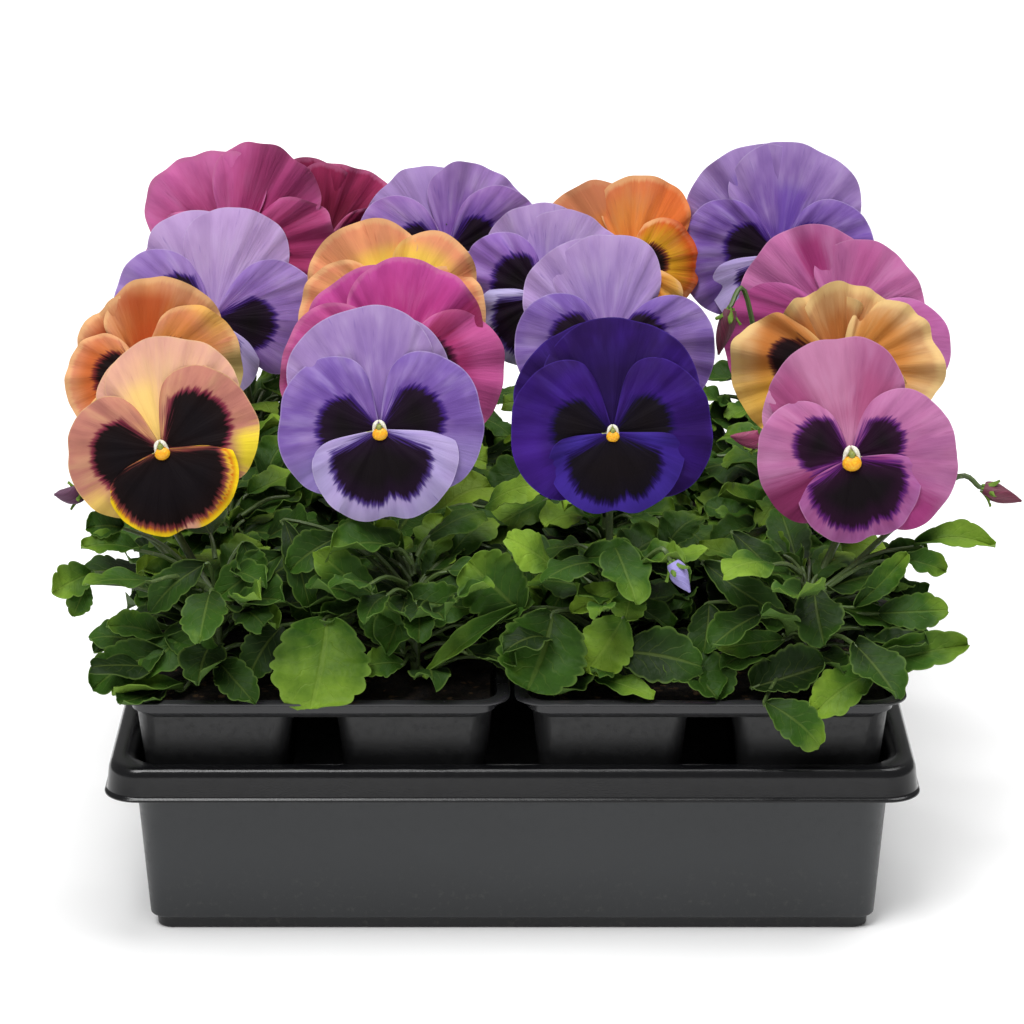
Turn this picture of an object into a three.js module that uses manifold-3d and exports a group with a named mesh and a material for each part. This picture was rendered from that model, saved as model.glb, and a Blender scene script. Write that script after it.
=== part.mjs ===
// A flat of pansies in bloom: sixteen plants in four plug packs of four cells, standing together
// in a black nursery tray. Millimetres, +Z up, -Y is the front. The origin is the centre of the
// tray's foot, on the surface that it stands on.

import * as THREE from 'three';
import { mergeVertices } from 'three/addons/utils/BufferGeometryUtils.js';
import Module from 'manifold-3d';

const wasm = await Module();
wasm.setup();

// ---------------------------------------------------------------- driving dimensions

const GAP = 0.3; // left wherever one piece rests on or stands in another

const TRAY = {
  lipHalf: 139.5, // the tray measures 279 across its lip
  height: 64,
  lipDepth: 10.3,
  lipThickness: 1.5,
  lipRound: 2, // height of the round from the rim into the lip
  lipFlare: 0.6,
  rimOuterHalf: 136.6,
  rimInnerHalf: 131.2,
  neckHalf: 130.2, // outside of the wall, just under the rim
  stepHalf: 125.6, // outside of the wall, just above the foot
  footHalf: 123.3,
  footHeight: 3.1,
  footStep: 1.3, // height of the slope between the foot and the wall
  neckDrop: 2.6, // how far below the rim the wall starts inside
  wall: 1.6,
  floor: 2,
  cornerRadius: 12,
  ribHeight: 3, // pressed ribs in the floor, which the packs stand on
  ribWidth: 8,
  grooveWidth: 5,
  ribLength: 224,
};

const PACK = {
  centre: 67.5,
  cellOffset: 34, // from the pack's centre to a cell's centre
  top: 86.5,
  flangeHalf: 66.9,
  flangeThickness: 1,
  bandHalf: 62.2,
  bandDepth: 4.6, // the plain upright band below the flange
  deckHalf: 60.7,
  deckThickness: 1.4,
  cellTopHalf: 26.6,
  cellBottomHalf: 18.4,
  wall: 0.9,
  floor: 1,
  cornerRadius: 8,
  drainRadius: 3,
};
const SOIL = {
  top: 84.2,
  cellTopHalf: 25.3,
  cellBottomHalf: 17.2,
  holeDepth: 18,
};
const STEM = { radius: 2, top: 116, sides: 5 };
const STALK = {
  radius: 1.3,
  sides: 4,
  steps: 4,
  rootDepth: 4, // below the top of the stem
  knee: [15, 24], // distances behind and below a bloom's eye that its stalk passes
  neck: [13, 8],
  end: [6.4, 0],
};
const LEAF = { thickness: 0.7, petioleWidth: 2, wave: 0.5 };
const PETAL_THICKNESS = 0.8;
const CALYX = { front: -4.1, back: -7.5, reach: 11, waist: 3.2 };
const BUD = { radius: 3.1, stalkRadius: 0.9 };

const FLANGE_CLEARANCE = 2.2; // leaves pass at least this far above the flanges
const LEAF_CEILING = { front: 127, behind: 136 }; // tips of the ordinary leaves, under the petals
const INNER_REACH = 32.6; // how far a leaf may go towards a neighbouring plant
const OUTER_REACH = 47; // and towards the outside of the tray
const GOLDEN_ANGLE = 2.39996; // between one leaf and the next round the stem, in radians

// ---------------------------------------------------------------- the plants, blooms and buds

// Rows run from a, at the front, to d at the back, and columns from 1, at the left, to 4.
const ROWS = ['a', 'b', 'c', 'd'];
const COLUMNS = [1, 2, 3, 4];

// Each bloom: the plant that carries it, its colour, the place of its eye, how far it turns to
// the side, tips up and rolls, in degrees, its size, its ruffle and how far its edge comes forward.
const BLOOMS = [
  { plant: 'a1', name: 'peach', color: 0xe39a78, eye: [-119, -100, 166],
    turn: -3, tip: 18, roll: 16, size: 1.0, ruffle: 0.8, cup: -2 },
  { plant: 'a2', name: 'lavender', color: 0xa183c9, eye: [-45, -100, 173],
    turn: 0, tip: 18, roll: 7, size: 1.0, ruffle: 0.8, cup: -2 },
  { plant: 'a3', name: 'violet', color: 0x3c1d83, eye: [34, -100, 172],
    turn: 2, tip: 16, roll: 1, size: 0.99, ruffle: 0.6, cup: -3 },
  { plant: 'a4', name: 'mauve', color: 0xc06aa6, eye: [115, -100, 163],
    turn: 4, tip: 18, roll: 2, size: 1.0, ruffle: 1.0, cup: -2 },
  { plant: 'b1', name: 'orange', color: 0xdd7f45, eye: [-126, -35, 168],
    turn: -14, tip: 26, roll: 4, size: 1.0, ruffle: 1.8, cup: 3 },
  { plant: 'b2', name: 'magenta', color: 0xb23a86, eye: [-41, -35, 175],
    turn: 2, tip: 20, roll: -4, size: 1.08, ruffle: 2.0, cup: -4 },
  { plant: 'b3', name: 'lavender', color: 0xa680c8, eye: [34, -35, 184],
    turn: 0, tip: 18, roll: -2, size: 0.98, ruffle: 1.2, cup: -3 },
  { plant: 'b4', name: 'apricot', color: 0xe0a25e, eye: [117, -40, 177],
    turn: 4, tip: 30, roll: -10, size: 0.95, ruffle: 3.0, cup: 8 },
  { plant: 'c1', name: 'lilac', color: 0xab90d0, eye: [-106, 33, 182],
    turn: 0, tip: 18, roll: -12, size: 1.0, ruffle: 1.2, cup: -3 },
  { plant: 'c2', name: 'orange', color: 0xea9648, eye: [-43, 24, 179],
    turn: 0, tip: 22, roll: -6, size: 0.96, ruffle: 1.8, cup: 2 },
  { plant: 'c3', name: 'lavender', color: 0xa083cb, eye: [12, 42, 182],
    turn: 0, tip: 18, roll: -22, size: 0.92, ruffle: 1.6, cup: -3 },
  { plant: 'c4', name: 'pink', color: 0xc661a0, eye: [119, 6, 181],
    turn: 0, tip: 16, roll: -14, size: 1.12, ruffle: 1.6, cup: -2 },
  { plant: 'd1', name: 'rose', color: 0xb84a8a, eye: [-107, 88, 186],
    turn: -4, tip: 16, roll: -4, size: 1.0, ruffle: 3.0, cup: 2 },
  { plant: 'd1', name: 'burgundy', color: 0x7d1f49, eye: [-74, 112, 182],
    turn: 6, tip: 16, roll: -12, size: 0.98, ruffle: 2.2, cup: 0 },
  { plant: 'd2', name: 'lavender', color: 0x8d68bd, eye: [-25, 102, 184],
    turn: 0, tip: 14, roll: 4, size: 0.98, ruffle: 2.4, cup: -2 },
  { plant: 'd3', name: 'orange', color: 0xd8662f, eye: [42, 106, 182],
    turn: 16, tip: 16, roll: -10, size: 0.92, ruffle: 1.6, cup: -2 },
  { plant: 'd4', name: 'purple', color: 0x7f5cb8, eye: [100, 98, 184],
    turn: 0, tip: 16, roll: -3, size: 1.03, ruffle: 1.2, cup: -2 },
];

// The five petals of a pansy, seen from the front: the way each points and how far it spreads to
// both sides, in degrees, its reach in millimetres, and its place in the stack, back to front.
const PETALS = [
  { axis: 124, spread: 68, reach: 42, layer: -2.8, segments: 5, notch: 0 },
  { axis: 70, spread: 68, reach: 42, layer: -1.4, segments: 5, notch: 0 },
  { axis: 178, spread: 62, reach: 36, layer: 0, segments: 5, notch: 0 },
  { axis: 8, spread: 62, reach: 36, layer: 0, segments: 5, notch: 0 },
  { axis: 271, spread: 84, reach: 31.5, layer: 1.4, segments: 6, notch: 0.07 },
];
const PETAL_SQUARENESS = 0.34; // the smaller, the blunter a petal's end
const PETAL_FOLD = 0.5; // where the fold between a petal's foot and its edge lies
const FOLDED_CUP = 4; // petals of a bloom cupped more than this have that fold
const PETAL_SWEEP = 76; // degrees of the half circle that spaces the points of a petal's edge
const PETAL_OPENING = 0.93; // the share of its spread that a petal fills
const NOTCH_WIDTH = 10; // degrees
const CUP_RADIUS = 36; // where a bloom's cup and ruffle are measured

// Each bud: the plant that carries it, the place of its foot and tip, a point that its stalk
// passes through, and its colour.
const BUDS = [
  { plant: 'b4', foot: [78, -14, 192], tip: [74, -17, 176], bend: [84, -8, 196], color: 0x5d1a33 },
  { plant: 'b4', foot: [88, -64, 158], tip: [76, -68, 161], bend: [95, -58, 152], color: 0xa03a6b },
  { plant: 'a4', foot: [162, -90, 149], tip: [175, -92, 145], bend: [152, -88, 152], color: 0x6d1c3c },
  { plant: 'a1', foot: [-148, -88, 146], tip: [-157, -94, 148], bend: [-140, -84, 142], color: 0x5a2450 },
  { plant: 'a3', foot: [54, -114, 130], tip: [60, -118, 121], bend: [50, -112, 134], color: 0x9c93d2 },
];

// The leaves that show at the front, placed one by one: the plant, the blade's foot and tip, its
// width, how far its middle arches up, how far its edges stand up, and how far it faces up, in
// degrees, from straight ahead.
const FRONT_LEAVES = [
  ['a1', [-144, -104, 123], [-157, -112, 119], 12, 1, 2, 30],
  ['a1', [-120, -112, 102], [-138, -118, 109], 10, 2, 1, 50],
  ['a1', [-125, -106, 128], [-146, -110, 132], 9, 1, 1, 70],
  ['a1', [-118, -118, 99], [-143, -126, 91], 16, 2, 1, 45],
  ['a1', [-112, -122, 88], [-134, -130, 92], 12, -1, 2, 80],
  ['a1', [-112, -114, 103], [-94, -124, 97], 12, 2, 1, 40],
  ['a1', [-100, -122, 98], [-87, -138, 88], 13, 2, 1, 40],
  ['a1', [-80, -106, 128], [-101, -112, 116], 15, 3, 1, 40],
  ['a1', [-80, -114, 110], [-90, -126, 97], 14, 1, 1, 30],
  ['a2', [-63, -118, 112], [-64, -137, 88], 30, 1, 2, 25],
  ['a2', [-44, -112, 116], [-63, -112, 134], 13, 1, 1, 20],
  ['a2', [-37, -120, 100], [-50, -118, 115], 13, 1, 1, 20],
  ['a2', [-37, -122, 96], [-48, -128, 97], 12, 1, 1, 50],
  ['a2', [-39, -106, 116], [-18, -107, 114], 15, 2, 1, 30],
  ['a3', [3, -116, 113], [-15, -112, 129], 23, 1, 2, 25],
  ['a3', [4, -117, 113], [-24, -130, 98], 10, 3, 2, 65],
  ['a3', [14, -116, 113], [6, -132, 93], 29, 1, 1, 25],
  ['a3', [38, -112, 110], [27, -120, 97], 18, 1, 1, 25],
  ['a3', [36, -120, 100], [62, -130, 99], 19, 1, 1, 30],
  ['a3', [28, -120, 92], [48, -132, 91], 11, 1, 1, 70],
  ['a4', [74, -112, 114], [71, -122, 101], 12, 1, 1, 30],
  ['a4', [84, -127, 91], [106, -128, 100], 17, -2, 3, 50],
  ['a4', [85, -137, 90], [104, -143, 77], 13, 2, 1, 45],
  ['a4', [123, -122, 96], [102, -139, 88], 13, 2, 1, 45],
  ['a4', [118, -118, 95], [154, -122, 104], 13, 2, 1, 40],
  ['a4', [125, -106, 109], [149, -110, 112], 13, 1, 1, 30],
  ['a4', [136, -94, 128], [163, -98, 130], 9, 3, 1, 50],
  ['a4', [77, -98, 132], [95, -110, 118], 10, 1, 1, 40],
];

// ---------------------------------------------------------------- closed meshes and solids

// Merges the corners that faces share and drops faces that have shrunk to a line.
function closedMesh(geometry) {
  geometry.deleteAttribute('normal');
  geometry.deleteAttribute('uv');
  const merged = mergeVertices(geometry, 1e-4);
  const index = Array.from(merged.index.array);
  const triangles = [];
  for (let i = 0; i < index.length; i += 3) {
    const [a, b, c] = [index[i], index[i + 1], index[i + 2]];
    if (a !== b && b !== c && c !== a) {
      triangles.push(a, b, c);
    }
  }
  return { positions: merged.attributes.position.array, triangles };
}

// Six times the volume that the triangles enclose: negative when they face inwards.
function signedVolume(positions, triangles) {
  const corner = (i) => new THREE.Vector3().fromArray(positions, 3 * triangles[i]);
  let total = 0;
  for (let i = 0; i < triangles.length; i += 3) {
    total += corner(i).dot(corner(i + 1).cross(corner(i + 2)));
  }
  return total;
}

function solidOf(geometry) {
  const { positions, triangles } = closedMesh(geometry);
  if (signedVolume(positions, triangles) < 0) {
    triangles.reverse();
  }
  return new wasm.Manifold(new wasm.Mesh({
    numProp: 3,
    vertProperties: new Float32Array(positions),
    triVerts: new Uint32Array(triangles),
  }));
}

function geometryOf(solid) {
  const mesh = solid.getMesh();
  const geometry = new THREE.BufferGeometry();
  geometry.setAttribute('position', new THREE.BufferAttribute(new Float32Array(mesh.vertProperties), 3));
  geometry.setIndex(new THREE.BufferAttribute(new Uint32Array(mesh.triVerts), 1));
  geometry.computeVertexNormals();
  return geometry;
}

function indexedGeometry(points, triangles) {
  const geometry = new THREE.BufferGeometry();
  const positions = points.flatMap((p) => p.toArray());
  geometry.setAttribute('position', new THREE.Float32BufferAttribute(positions, 3));
  geometry.setIndex(triangles);
  return geometry;
}

const joined = (solids) => solids.reduce((whole, solid) => whole.add(solid));

function boxSolid(width, depth, height, x, y, z) {
  return solidOf(new THREE.BoxGeometry(width, depth, height).translate(x, y, z));
}

// A prism standing on z = low, round enough for a stem's hole or a drain hole.
function prismSolid(radius, sides, low, high, x, y) {
  const prism = new THREE.CylinderGeometry(radius, radius, high - low, sides);
  return solidOf(prism.rotateX(Math.PI / 2).translate(x, y, (low + high) / 2));
}

// A square with round corners, as a ring of points at one height.
function squareRing(half, radius, z, perCorner, x = 0, y = 0) {
  const ring = [];
  for (let corner = 0; corner < 4; corner += 1) {
    const sideX = corner === 0 || corner === 3 ? 1 : -1;
    const sideY = corner < 2 ? 1 : -1;
    for (let step = 0; step < perCorner; step += 1) {
      const angle = (corner + step / (perCorner - 1)) * Math.PI / 2;
      ring.push(new THREE.Vector3(
        x + sideX * (half - radius) + radius * Math.cos(angle),
        y + sideY * (half - radius) + radius * Math.sin(angle),
        z,
      ));
    }
  }
  return ring;
}

// Skins a row of rings and closes the first and the last one.
function loftSolid(rings) {
  const count = rings[0].length;
  const triangles = [];
  for (let k = 1; k < count - 1; k += 1) {
    triangles.push(0, k + 1, k);
    const last = (rings.length - 1) * count;
    triangles.push(last, last + k, last + k + 1);
  }
  for (let level = 0; level < rings.length - 1; level += 1) {
    for (let k = 0; k < count; k += 1) {
      const a = level * count + k;
      const b = level * count + ((k + 1) % count);
      triangles.push(a, b, b + count, a, b + count, a + count);
    }
  }
  return solidOf(indexedGeometry(rings.flat(), triangles));
}

function circleShape(radius, sides) {
  const points = [];
  for (let k = 0; k < sides; k += 1) {
    const angle = 2 * Math.PI * k / sides;
    points.push(new THREE.Vector2(radius * Math.cos(angle), radius * Math.sin(angle)));
  }
  return new THREE.Shape(points);
}

function stalkSolid(points, radius = STALK.radius) {
  return solidOf(new THREE.ExtrudeGeometry(circleShape(radius, STALK.sides), {
    steps: STALK.steps,
    bevelEnabled: false,
    extrudePath: new THREE.CatmullRomCurve3(points),
  }));
}

// A thin curved blade from its middle surface. Both faces are split into the same triangles.
function bladeSolid(points, triangles, thickness) {
  const normals = points.map(() => new THREE.Vector3());
  for (const [a, b, c] of triangles) {
    const ab = points[b].clone().sub(points[a]);
    const ac = points[c].clone().sub(points[a]);
    const faceNormal = ab.cross(ac).normalize();
    [a, b, c].forEach((corner) => normals[corner].add(faceNormal));
  }
  normals.forEach((normal) => normal.normalize());
  const offset = (by) => points.map((p, i) => p.clone().addScaledVector(normals[i], by));
  const skin = [...offset(thickness / 2), ...offset(-thickness / 2)];

  const count = points.length;
  const faces = [];
  const edges = new Map();
  for (const [a, b, c] of triangles) {
    faces.push(a, b, c, a + count, c + count, b + count);
    [[a, b], [b, c], [c, a]].forEach(([from, to]) => edges.set(`${from},${to}`, [from, to]));
  }
  for (const [from, to] of edges.values()) {
    if (!edges.has(`${to},${from}`)) {
      faces.push(from + count, to + count, to, from + count, to, from);
    }
  }
  return solidOf(indexedGeometry(skin, faces));
}

// A repeatable draw between 0 and 1.
function drawFrom(seed) {
  let state = seed;
  return () => {
    state = (state * 16807) % 2147483647;
    return state / 2147483647;
  };
}

const mix = (from, to, share) => from + (to - from) * share;
const radians = (degrees) => degrees * Math.PI / 180;
const vector = (values) => new THREE.Vector3(...values);

// Where the cells of one row or column of the tray are centred.
const cellCentre = (index) => Math.sign(index - 1.5) * PACK.centre + (index % 2 ? 1 : -1) * PACK.cellOffset;

// ---------------------------------------------------------------- the tray

function traySolid() {
  const t = TRAY;
  const corner = t.cornerRadius;
  const lipFoot = t.height - t.lipDepth;
  const underside = t.height - t.lipThickness;
  const wallAt = (z) => mix(t.stepHalf, t.neckHalf, (z - t.footHeight) / (underside - t.footHeight));
  const profile = [
    [t.footHalf, 0],
    [t.footHalf, t.footHeight],
    [t.stepHalf, t.footHeight + t.footStep],
    [wallAt(lipFoot), lipFoot],
    [t.neckHalf, underside],
    [t.rimOuterHalf - t.lipFlare, underside],
    [t.lipHalf - t.lipThickness, lipFoot],
    [t.lipHalf, lipFoot],
    [t.lipHalf - t.lipThickness, t.height - t.lipRound],
    [t.rimOuterHalf, t.height],
    [t.rimInnerHalf, t.height],
    [t.neckHalf - t.wall, t.height - t.neckDrop],
    [t.stepHalf - t.wall, t.footHeight + t.footStep],
    [t.footHalf - t.wall, t.floor],
  ];
  const shell = loftSolid(profile.map(([half, z]) => squareRing(half, corner, z, 4)));

  // Four ribs pressed up into the floor, one under each column of cells.
  const root = t.floor / 2;
  const ribs = COLUMNS.map((column, index) => boxSolid(
    t.ribWidth, t.ribLength, t.ribHeight + root, cellCentre(index), 0, root + (t.ribHeight + root) / 2));
  const grooves = COLUMNS.map((column, index) => boxSolid(
    t.grooveWidth, t.ribLength - 2 * t.wall, 2 * t.ribHeight, cellCentre(index), 0, 0));
  return shell.add(joined(ribs)).subtract(joined(grooves));
}

// ---------------------------------------------------------------- packs and soil

const STANDING = TRAY.floor + TRAY.ribHeight + GAP; // underside of the cells
const DECK_TOP = PACK.top - PACK.flangeThickness - PACK.bandDepth;
const DECK_UNDER = DECK_TOP - PACK.deckThickness;
const QUARTERS = [[-1, -1], [1, -1], [-1, 1], [1, 1]];
const CELLS = QUARTERS.map(([x, y]) => [x * PACK.cellOffset, y * PACK.cellOffset]);

// One pack, about its own centre: four tapered cells hanging from a deck, with an upright band
// and a flange round it.
function packSolid() {
  const p = PACK;
  const corner = p.cornerRadius;
  const flangeUnder = p.top - p.flangeThickness;
  const rim = loftSolid([
    squareRing(p.deckHalf, corner, DECK_UNDER, 3),
    squareRing(p.bandHalf, corner, DECK_TOP, 3),
    squareRing(p.bandHalf, corner, flangeUnder, 3),
    squareRing(p.flangeHalf, corner + 2, flangeUnder, 3),
    squareRing(p.flangeHalf, corner + 2, p.top, 3),
    squareRing(p.bandHalf - p.wall, corner, p.top, 3),
    squareRing(p.bandHalf - p.wall, corner, DECK_TOP, 3),
  ]);
  const cups = CELLS.map(([x, y]) => loftSolid([
    squareRing(p.cellBottomHalf, corner - 2, STANDING, 2, x, y),
    squareRing(p.cellTopHalf, corner - 2, DECK_UNDER + 0.5, 2, x, y),
  ]));
  const hollows = CELLS.map(([x, y]) => loftSolid([
    squareRing(p.cellBottomHalf - p.wall, corner - 2.4, STANDING + p.floor, 2, x, y),
    squareRing(p.cellTopHalf - p.wall, corner - 2.4, DECK_TOP + 1, 2, x, y),
  ]));
  const drains = CELLS.map(([x, y]) => prismSolid(p.drainRadius, 5, STANDING - 1, STANDING + 2, x, y));
  return rim.add(joined(cups)).subtract(joined(hollows)).subtract(joined(drains));
}

// The compost of one pack: a plug in each cell, joined by a thin layer over the deck, with a
// plain hole for each plant.
function soilSolid() {
  const layerHalf = PACK.bandHalf - PACK.wall - GAP - 0.2;
  const layer = loftSolid([
    squareRing(layerHalf, PACK.cornerRadius, DECK_TOP + GAP, 3),
    squareRing(layerHalf - 0.4, PACK.cornerRadius, SOIL.top, 3),
  ]);
  const plugs = CELLS.map(([x, y]) => loftSolid([
    squareRing(SOIL.cellBottomHalf, PACK.cornerRadius - 2, STANDING + PACK.floor + GAP, 2, x, y),
    squareRing(SOIL.cellTopHalf, PACK.cornerRadius - 2, DECK_TOP + GAP + 0.5, 2, x, y),
  ]));
  const holeRadius = STEM.radius + 1.3 * GAP;
  const holes = CELLS.map(([x, y]) => (
    prismSolid(holeRadius, STEM.sides, SOIL.top - SOIL.holeDepth, SOIL.top + GAP, x, y)));
  return layer.add(joined(plugs)).subtract(joined(holes));
}

// ---------------------------------------------------------------- leaves

// Half of a leaf's outline, from its foot to near its tip: the place along the midrib and the
// share of the half width. The steps back are the notches of its scalloped edge.
const SCALLOPED_EDGE = [[0.12, 0.58], [0.4, 1.0], [0.5, 0.84], [0.77, 0.82]];
const PLAIN_EDGE = [[0.18, 0.74], [0.55, 1.0], [0.63, 0.82]];
const MIDRIB = 0.52;

// One leaf: a flat stalk from the stem to the blade's foot, and a blade that arches along its
// midrib and lifts its edges.
function leafSolid({ root, foot, tip, width, arch, cup, lean, edge }) {
  const along = tip.clone().sub(foot);
  const length = along.length();
  along.normalize();
  const facing = vector([lean.x, lean.y, lean.z]);
  const up = facing.addScaledVector(along, -facing.dot(along)).normalize();
  const side = up.clone().cross(along);
  const at = (share, across, lift = 0) => foot.clone()
    .addScaledVector(along, share * length)
    .addScaledVector(side, across * width / 2)
    .addScaledVector(up, arch * 4 * share * (1 - share) + cup * across * across + lift);
  const strip = LEAF.petioleWidth / 2;
  const points = [
    root.clone().addScaledVector(side, -strip),
    root.clone().addScaledVector(side, strip),
    foot.clone().addScaledVector(side, -strip),
    foot.clone().addScaledVector(side, strip),
    at(MIDRIB, 0),
    at(1, 0),
  ];
  const left = points.length;
  const right = left + edge.length;
  for (const hand of [1, -1]) {
    edge.forEach(([share, across], k) => {
      points.push(at(share, hand * across, k % 2 ? LEAF.wave : -LEAF.wave));
    });
  }
  const triangles = [[0, 2, 3], [0, 3, 1], [2, 4, 3], [3, 4, left], [2, right, 4]];
  for (let k = 1; k < edge.length; k += 1) {
    triangles.push([4, left + k, left + k - 1], [4, right + k - 1, right + k]);
  }
  triangles.push([4, 5, right - 1], [4, right + edge.length - 1, 5]);
  return bladeSolid(points, triangles, LEAF.thickness);
}

// How far a leaf of this width may reach from its plant on the bearing, inside its own plot.
function reachOn(bearing, halfWidth, outward) {
  const limits = [Math.cos(bearing), Math.sin(bearing)].map((part, axis) => {
    const limit = outward[axis] * part > 0 ? OUTER_REACH : INNER_REACH;
    const sideways = halfWidth * Math.sqrt(1 - part * part);
    return (limit - sideways) / Math.max(Math.abs(part), 0.05);
  });
  return Math.min(...limits);
}

// The ordinary leaves of a plant, set round its stem by the golden angle, low and long at the
// bottom, short and steep at the top.
function ordinaryLeaves(centre, row, column, seed) {
  const draw = drawFrom(seed);
  const front = row === 0;
  const crowded = [1, 2].includes(row) && [1, 2].includes(column);
  const count = front ? 3 : 5 - Number(crowded);
  const outward = [column === 0 ? -1 : Number(column === 3), row === 0 ? -1 : Number(row === 3)];
  const leaves = [];
  const first = draw() * 2 * Math.PI;
  for (let k = 0; k < count; k += 1) {
    const level = k / (count - 1);
    // Leaves of a front plant grow to its back and sides: its front is set leaf by leaf.
    const bearing = front
      ? Math.PI * (0.06 + 0.88 * ((k * 0.618 + draw() * 0.1) % 1))
      : first + k * GOLDEN_ANGLE + (draw() - 0.5) * 0.5;
    const length = mix(31, 27, level) * (0.9 + 0.2 * draw());
    const width = length * (0.7 + 0.2 * draw());
    const rise = radians(mix(14, 58, level));
    const pitch = rise - radians(mix(26, 38, draw()));
    const petiole = mix(10, 7, level);
    const wanted = petiole * Math.cos(rise) + length * Math.cos(pitch);
    const scale = Math.min(1, reachOn(bearing, width / 2, outward) / wanted);
    const out = vector([Math.cos(bearing), Math.sin(bearing), 0]);
    const root = vector([centre[0], centre[1], mix(97, STEM.top - 3, level)]);
    const foot = root.clone().addScaledVector(out, scale * petiole * Math.cos(rise));
    foot.z += scale * petiole * Math.sin(rise);
    const tip = foot.clone().addScaledVector(out, scale * length * Math.cos(pitch));
    tip.z += scale * length * Math.sin(pitch);
    const ceiling = front ? LEAF_CEILING.front : LEAF_CEILING.behind;
    tip.z = Math.min(Math.max(tip.z, PACK.top + 2 * FLANGE_CLEARANCE), ceiling);
    leaves.push({
      root, foot, tip, width: width * Math.sqrt(scale),
      arch: mix(1.5, 3, draw()),
      cup: mix(-1, 1.6, draw()),
      lean: out.clone().multiplyScalar(0.2).setZ(1),
      edge: PLAIN_EDGE,
    });
  }
  return leaves;
}

// The leaves placed one by one, for one plant.
function frontLeaves(plant, centre) {
  return FRONT_LEAVES.filter(([owner]) => owner === plant).map(([, foot, tip, width, arch, cup, faces]) => {
    const start = vector(foot);
    const distance = Math.hypot(start.x - centre[0], start.y - centre[1]);
    const height = Math.min(Math.max(start.z - 0.45 * distance, 90), STEM.top - 3);
    return {
      root: vector([centre[0], centre[1], height]),
      foot: start,
      tip: vector(tip),
      width, arch, cup,
      lean: vector([0, -Math.cos(radians(faces)), Math.sin(radians(faces))]),
      edge: SCALLOPED_EDGE,
    };
  });
}

// ---------------------------------------------------------------- blooms and buds

// The turned frame of a bloom: x to its right, y up its face, z out of its face.
function bloomFrame({ turn, tip, roll }) {
  const [t, p] = [radians(turn), radians(tip)];
  const out = vector([Math.sin(t) * Math.cos(p), -Math.cos(t) * Math.cos(p), Math.sin(p)]);
  const right = vector([Math.cos(t), Math.sin(t), 0]);
  const up = out.clone().cross(right);
  const frame = new THREE.Matrix4().makeBasis(right, up, out);
  return frame.multiply(new THREE.Matrix4().makeRotationZ(radians(roll)));
}

// How far the face of a bloom comes forward, at a distance and a bearing from its eye.
function faceLift(bloom, radius, angle) {
  const share = radius / CUP_RADIUS;
  const phase = 7 * bloom.eye[0];
  return (bloom.cup + bloom.ruffle * Math.sin(2 * angle + phase)) * share ** 1.5;
}

// A petal runs from its foot, in the heart, over a fold to its rounded edge. The fold has three
// points where the bloom is deeply cupped, and otherwise one.
function petalSolid(petal, bloom) {
  const place = (share, fold) => {
    const offset = PETAL_OPENING * petal.spread * share;
    const fullness = Math.cos(radians(90) * offset / petal.spread) ** PETAL_SQUARENESS;
    const notch = 1 - petal.notch * Math.exp(-((offset / NOTCH_WIDTH) ** 2));
    const radius = fold * bloom.size * petal.reach * fullness * notch;
    const angle = radians(petal.axis + offset);
    const height = petal.layer + faceLift(bloom, radius, angle);
    return vector([radius * Math.cos(angle), radius * Math.sin(angle), height]);
  };
  const fold = Math.abs(bloom.cup) > FOLDED_CUP ? [-1, 0, 1] : [0];
  const points = [vector([0, 0, petal.layer]), ...fold.map((share) => place(share, PETAL_FOLD))];
  const edge = points.length;
  const last = edge + petal.segments;
  for (let k = 0; k <= petal.segments; k += 1) {
    const sweep = radians(PETAL_SWEEP);
    points.push(place(Math.sin((2 * k / petal.segments - 1) * sweep) / Math.sin(sweep), 1));
  }
  const triangles = [];
  if (fold.length === 1) {
    triangles.push([0, edge, 1], [0, 1, last]);
    for (let k = edge; k < last; k += 1) {
      triangles.push([1, k, k + 1]);
    }
  } else {
    const turn = edge + Math.floor(petal.segments / 2);
    triangles.push([0, 1, 2], [0, 2, 3], [1, turn, 2], [2, last, 3]);
    for (let k = edge; k < last; k += 1) {
      triangles.push([k < turn ? 1 : 2, k, k + 1]);
    }
  }
  return bladeSolid(points, triangles, PETAL_THICKNESS);
}

// The heart of a bloom, which its petals grow from, with the rounded knob of its eye in front.
function heartSolid() {
  const outline = [[0, -3.7], [3, -3.7], [3, 2.4], [2, 3.4], [0, 3.4]];
  const profile = outline.map(([radius, height]) => new THREE.Vector2(radius, height));
  return solidOf(new THREE.LatheGeometry(profile, 4).rotateX(Math.PI / 2));
}

function bloomSolid(bloom) {
  return joined([heartSolid(), ...PETALS.map((petal) => petalSolid(petal, bloom))]);
}

// Five pointed sepals in a star, hollowed towards a bloom or standing up round a bud.
function calyxSolid(frame, origin, { front, back, reach, waist, lift }) {
  const points = [vector([0, 0, front]), vector([0, 0, back])];
  const triangles = [];
  for (let k = 0; k < 10; k += 1) {
    const angle = Math.PI * (k / 5 + 0.1);
    const radius = k % 2 ? waist : reach;
    const height = k % 2 ? (front + back) / 2 : front - 0.9 + lift;
    points.push(vector([radius * Math.cos(angle), radius * Math.sin(angle), height]));
    const next = 2 + ((k + 1) % 10);
    triangles.push(0, k + 2, next, 1, next, k + 2);
  }
  const placed = points.map((point) => point.applyMatrix4(frame).add(origin));
  return solidOf(indexedGeometry(placed, triangles));
}

// A frame whose z runs from a bud's foot to its tip.
function budFrame({ foot, tip }) {
  const along = vector(tip).sub(vector(foot)).normalize();
  const turn = new THREE.Quaternion().setFromUnitVectors(new THREE.Vector3(0, 0, 1), along);
  return new THREE.Matrix4().makeRotationFromQuaternion(turn);
}

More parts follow.
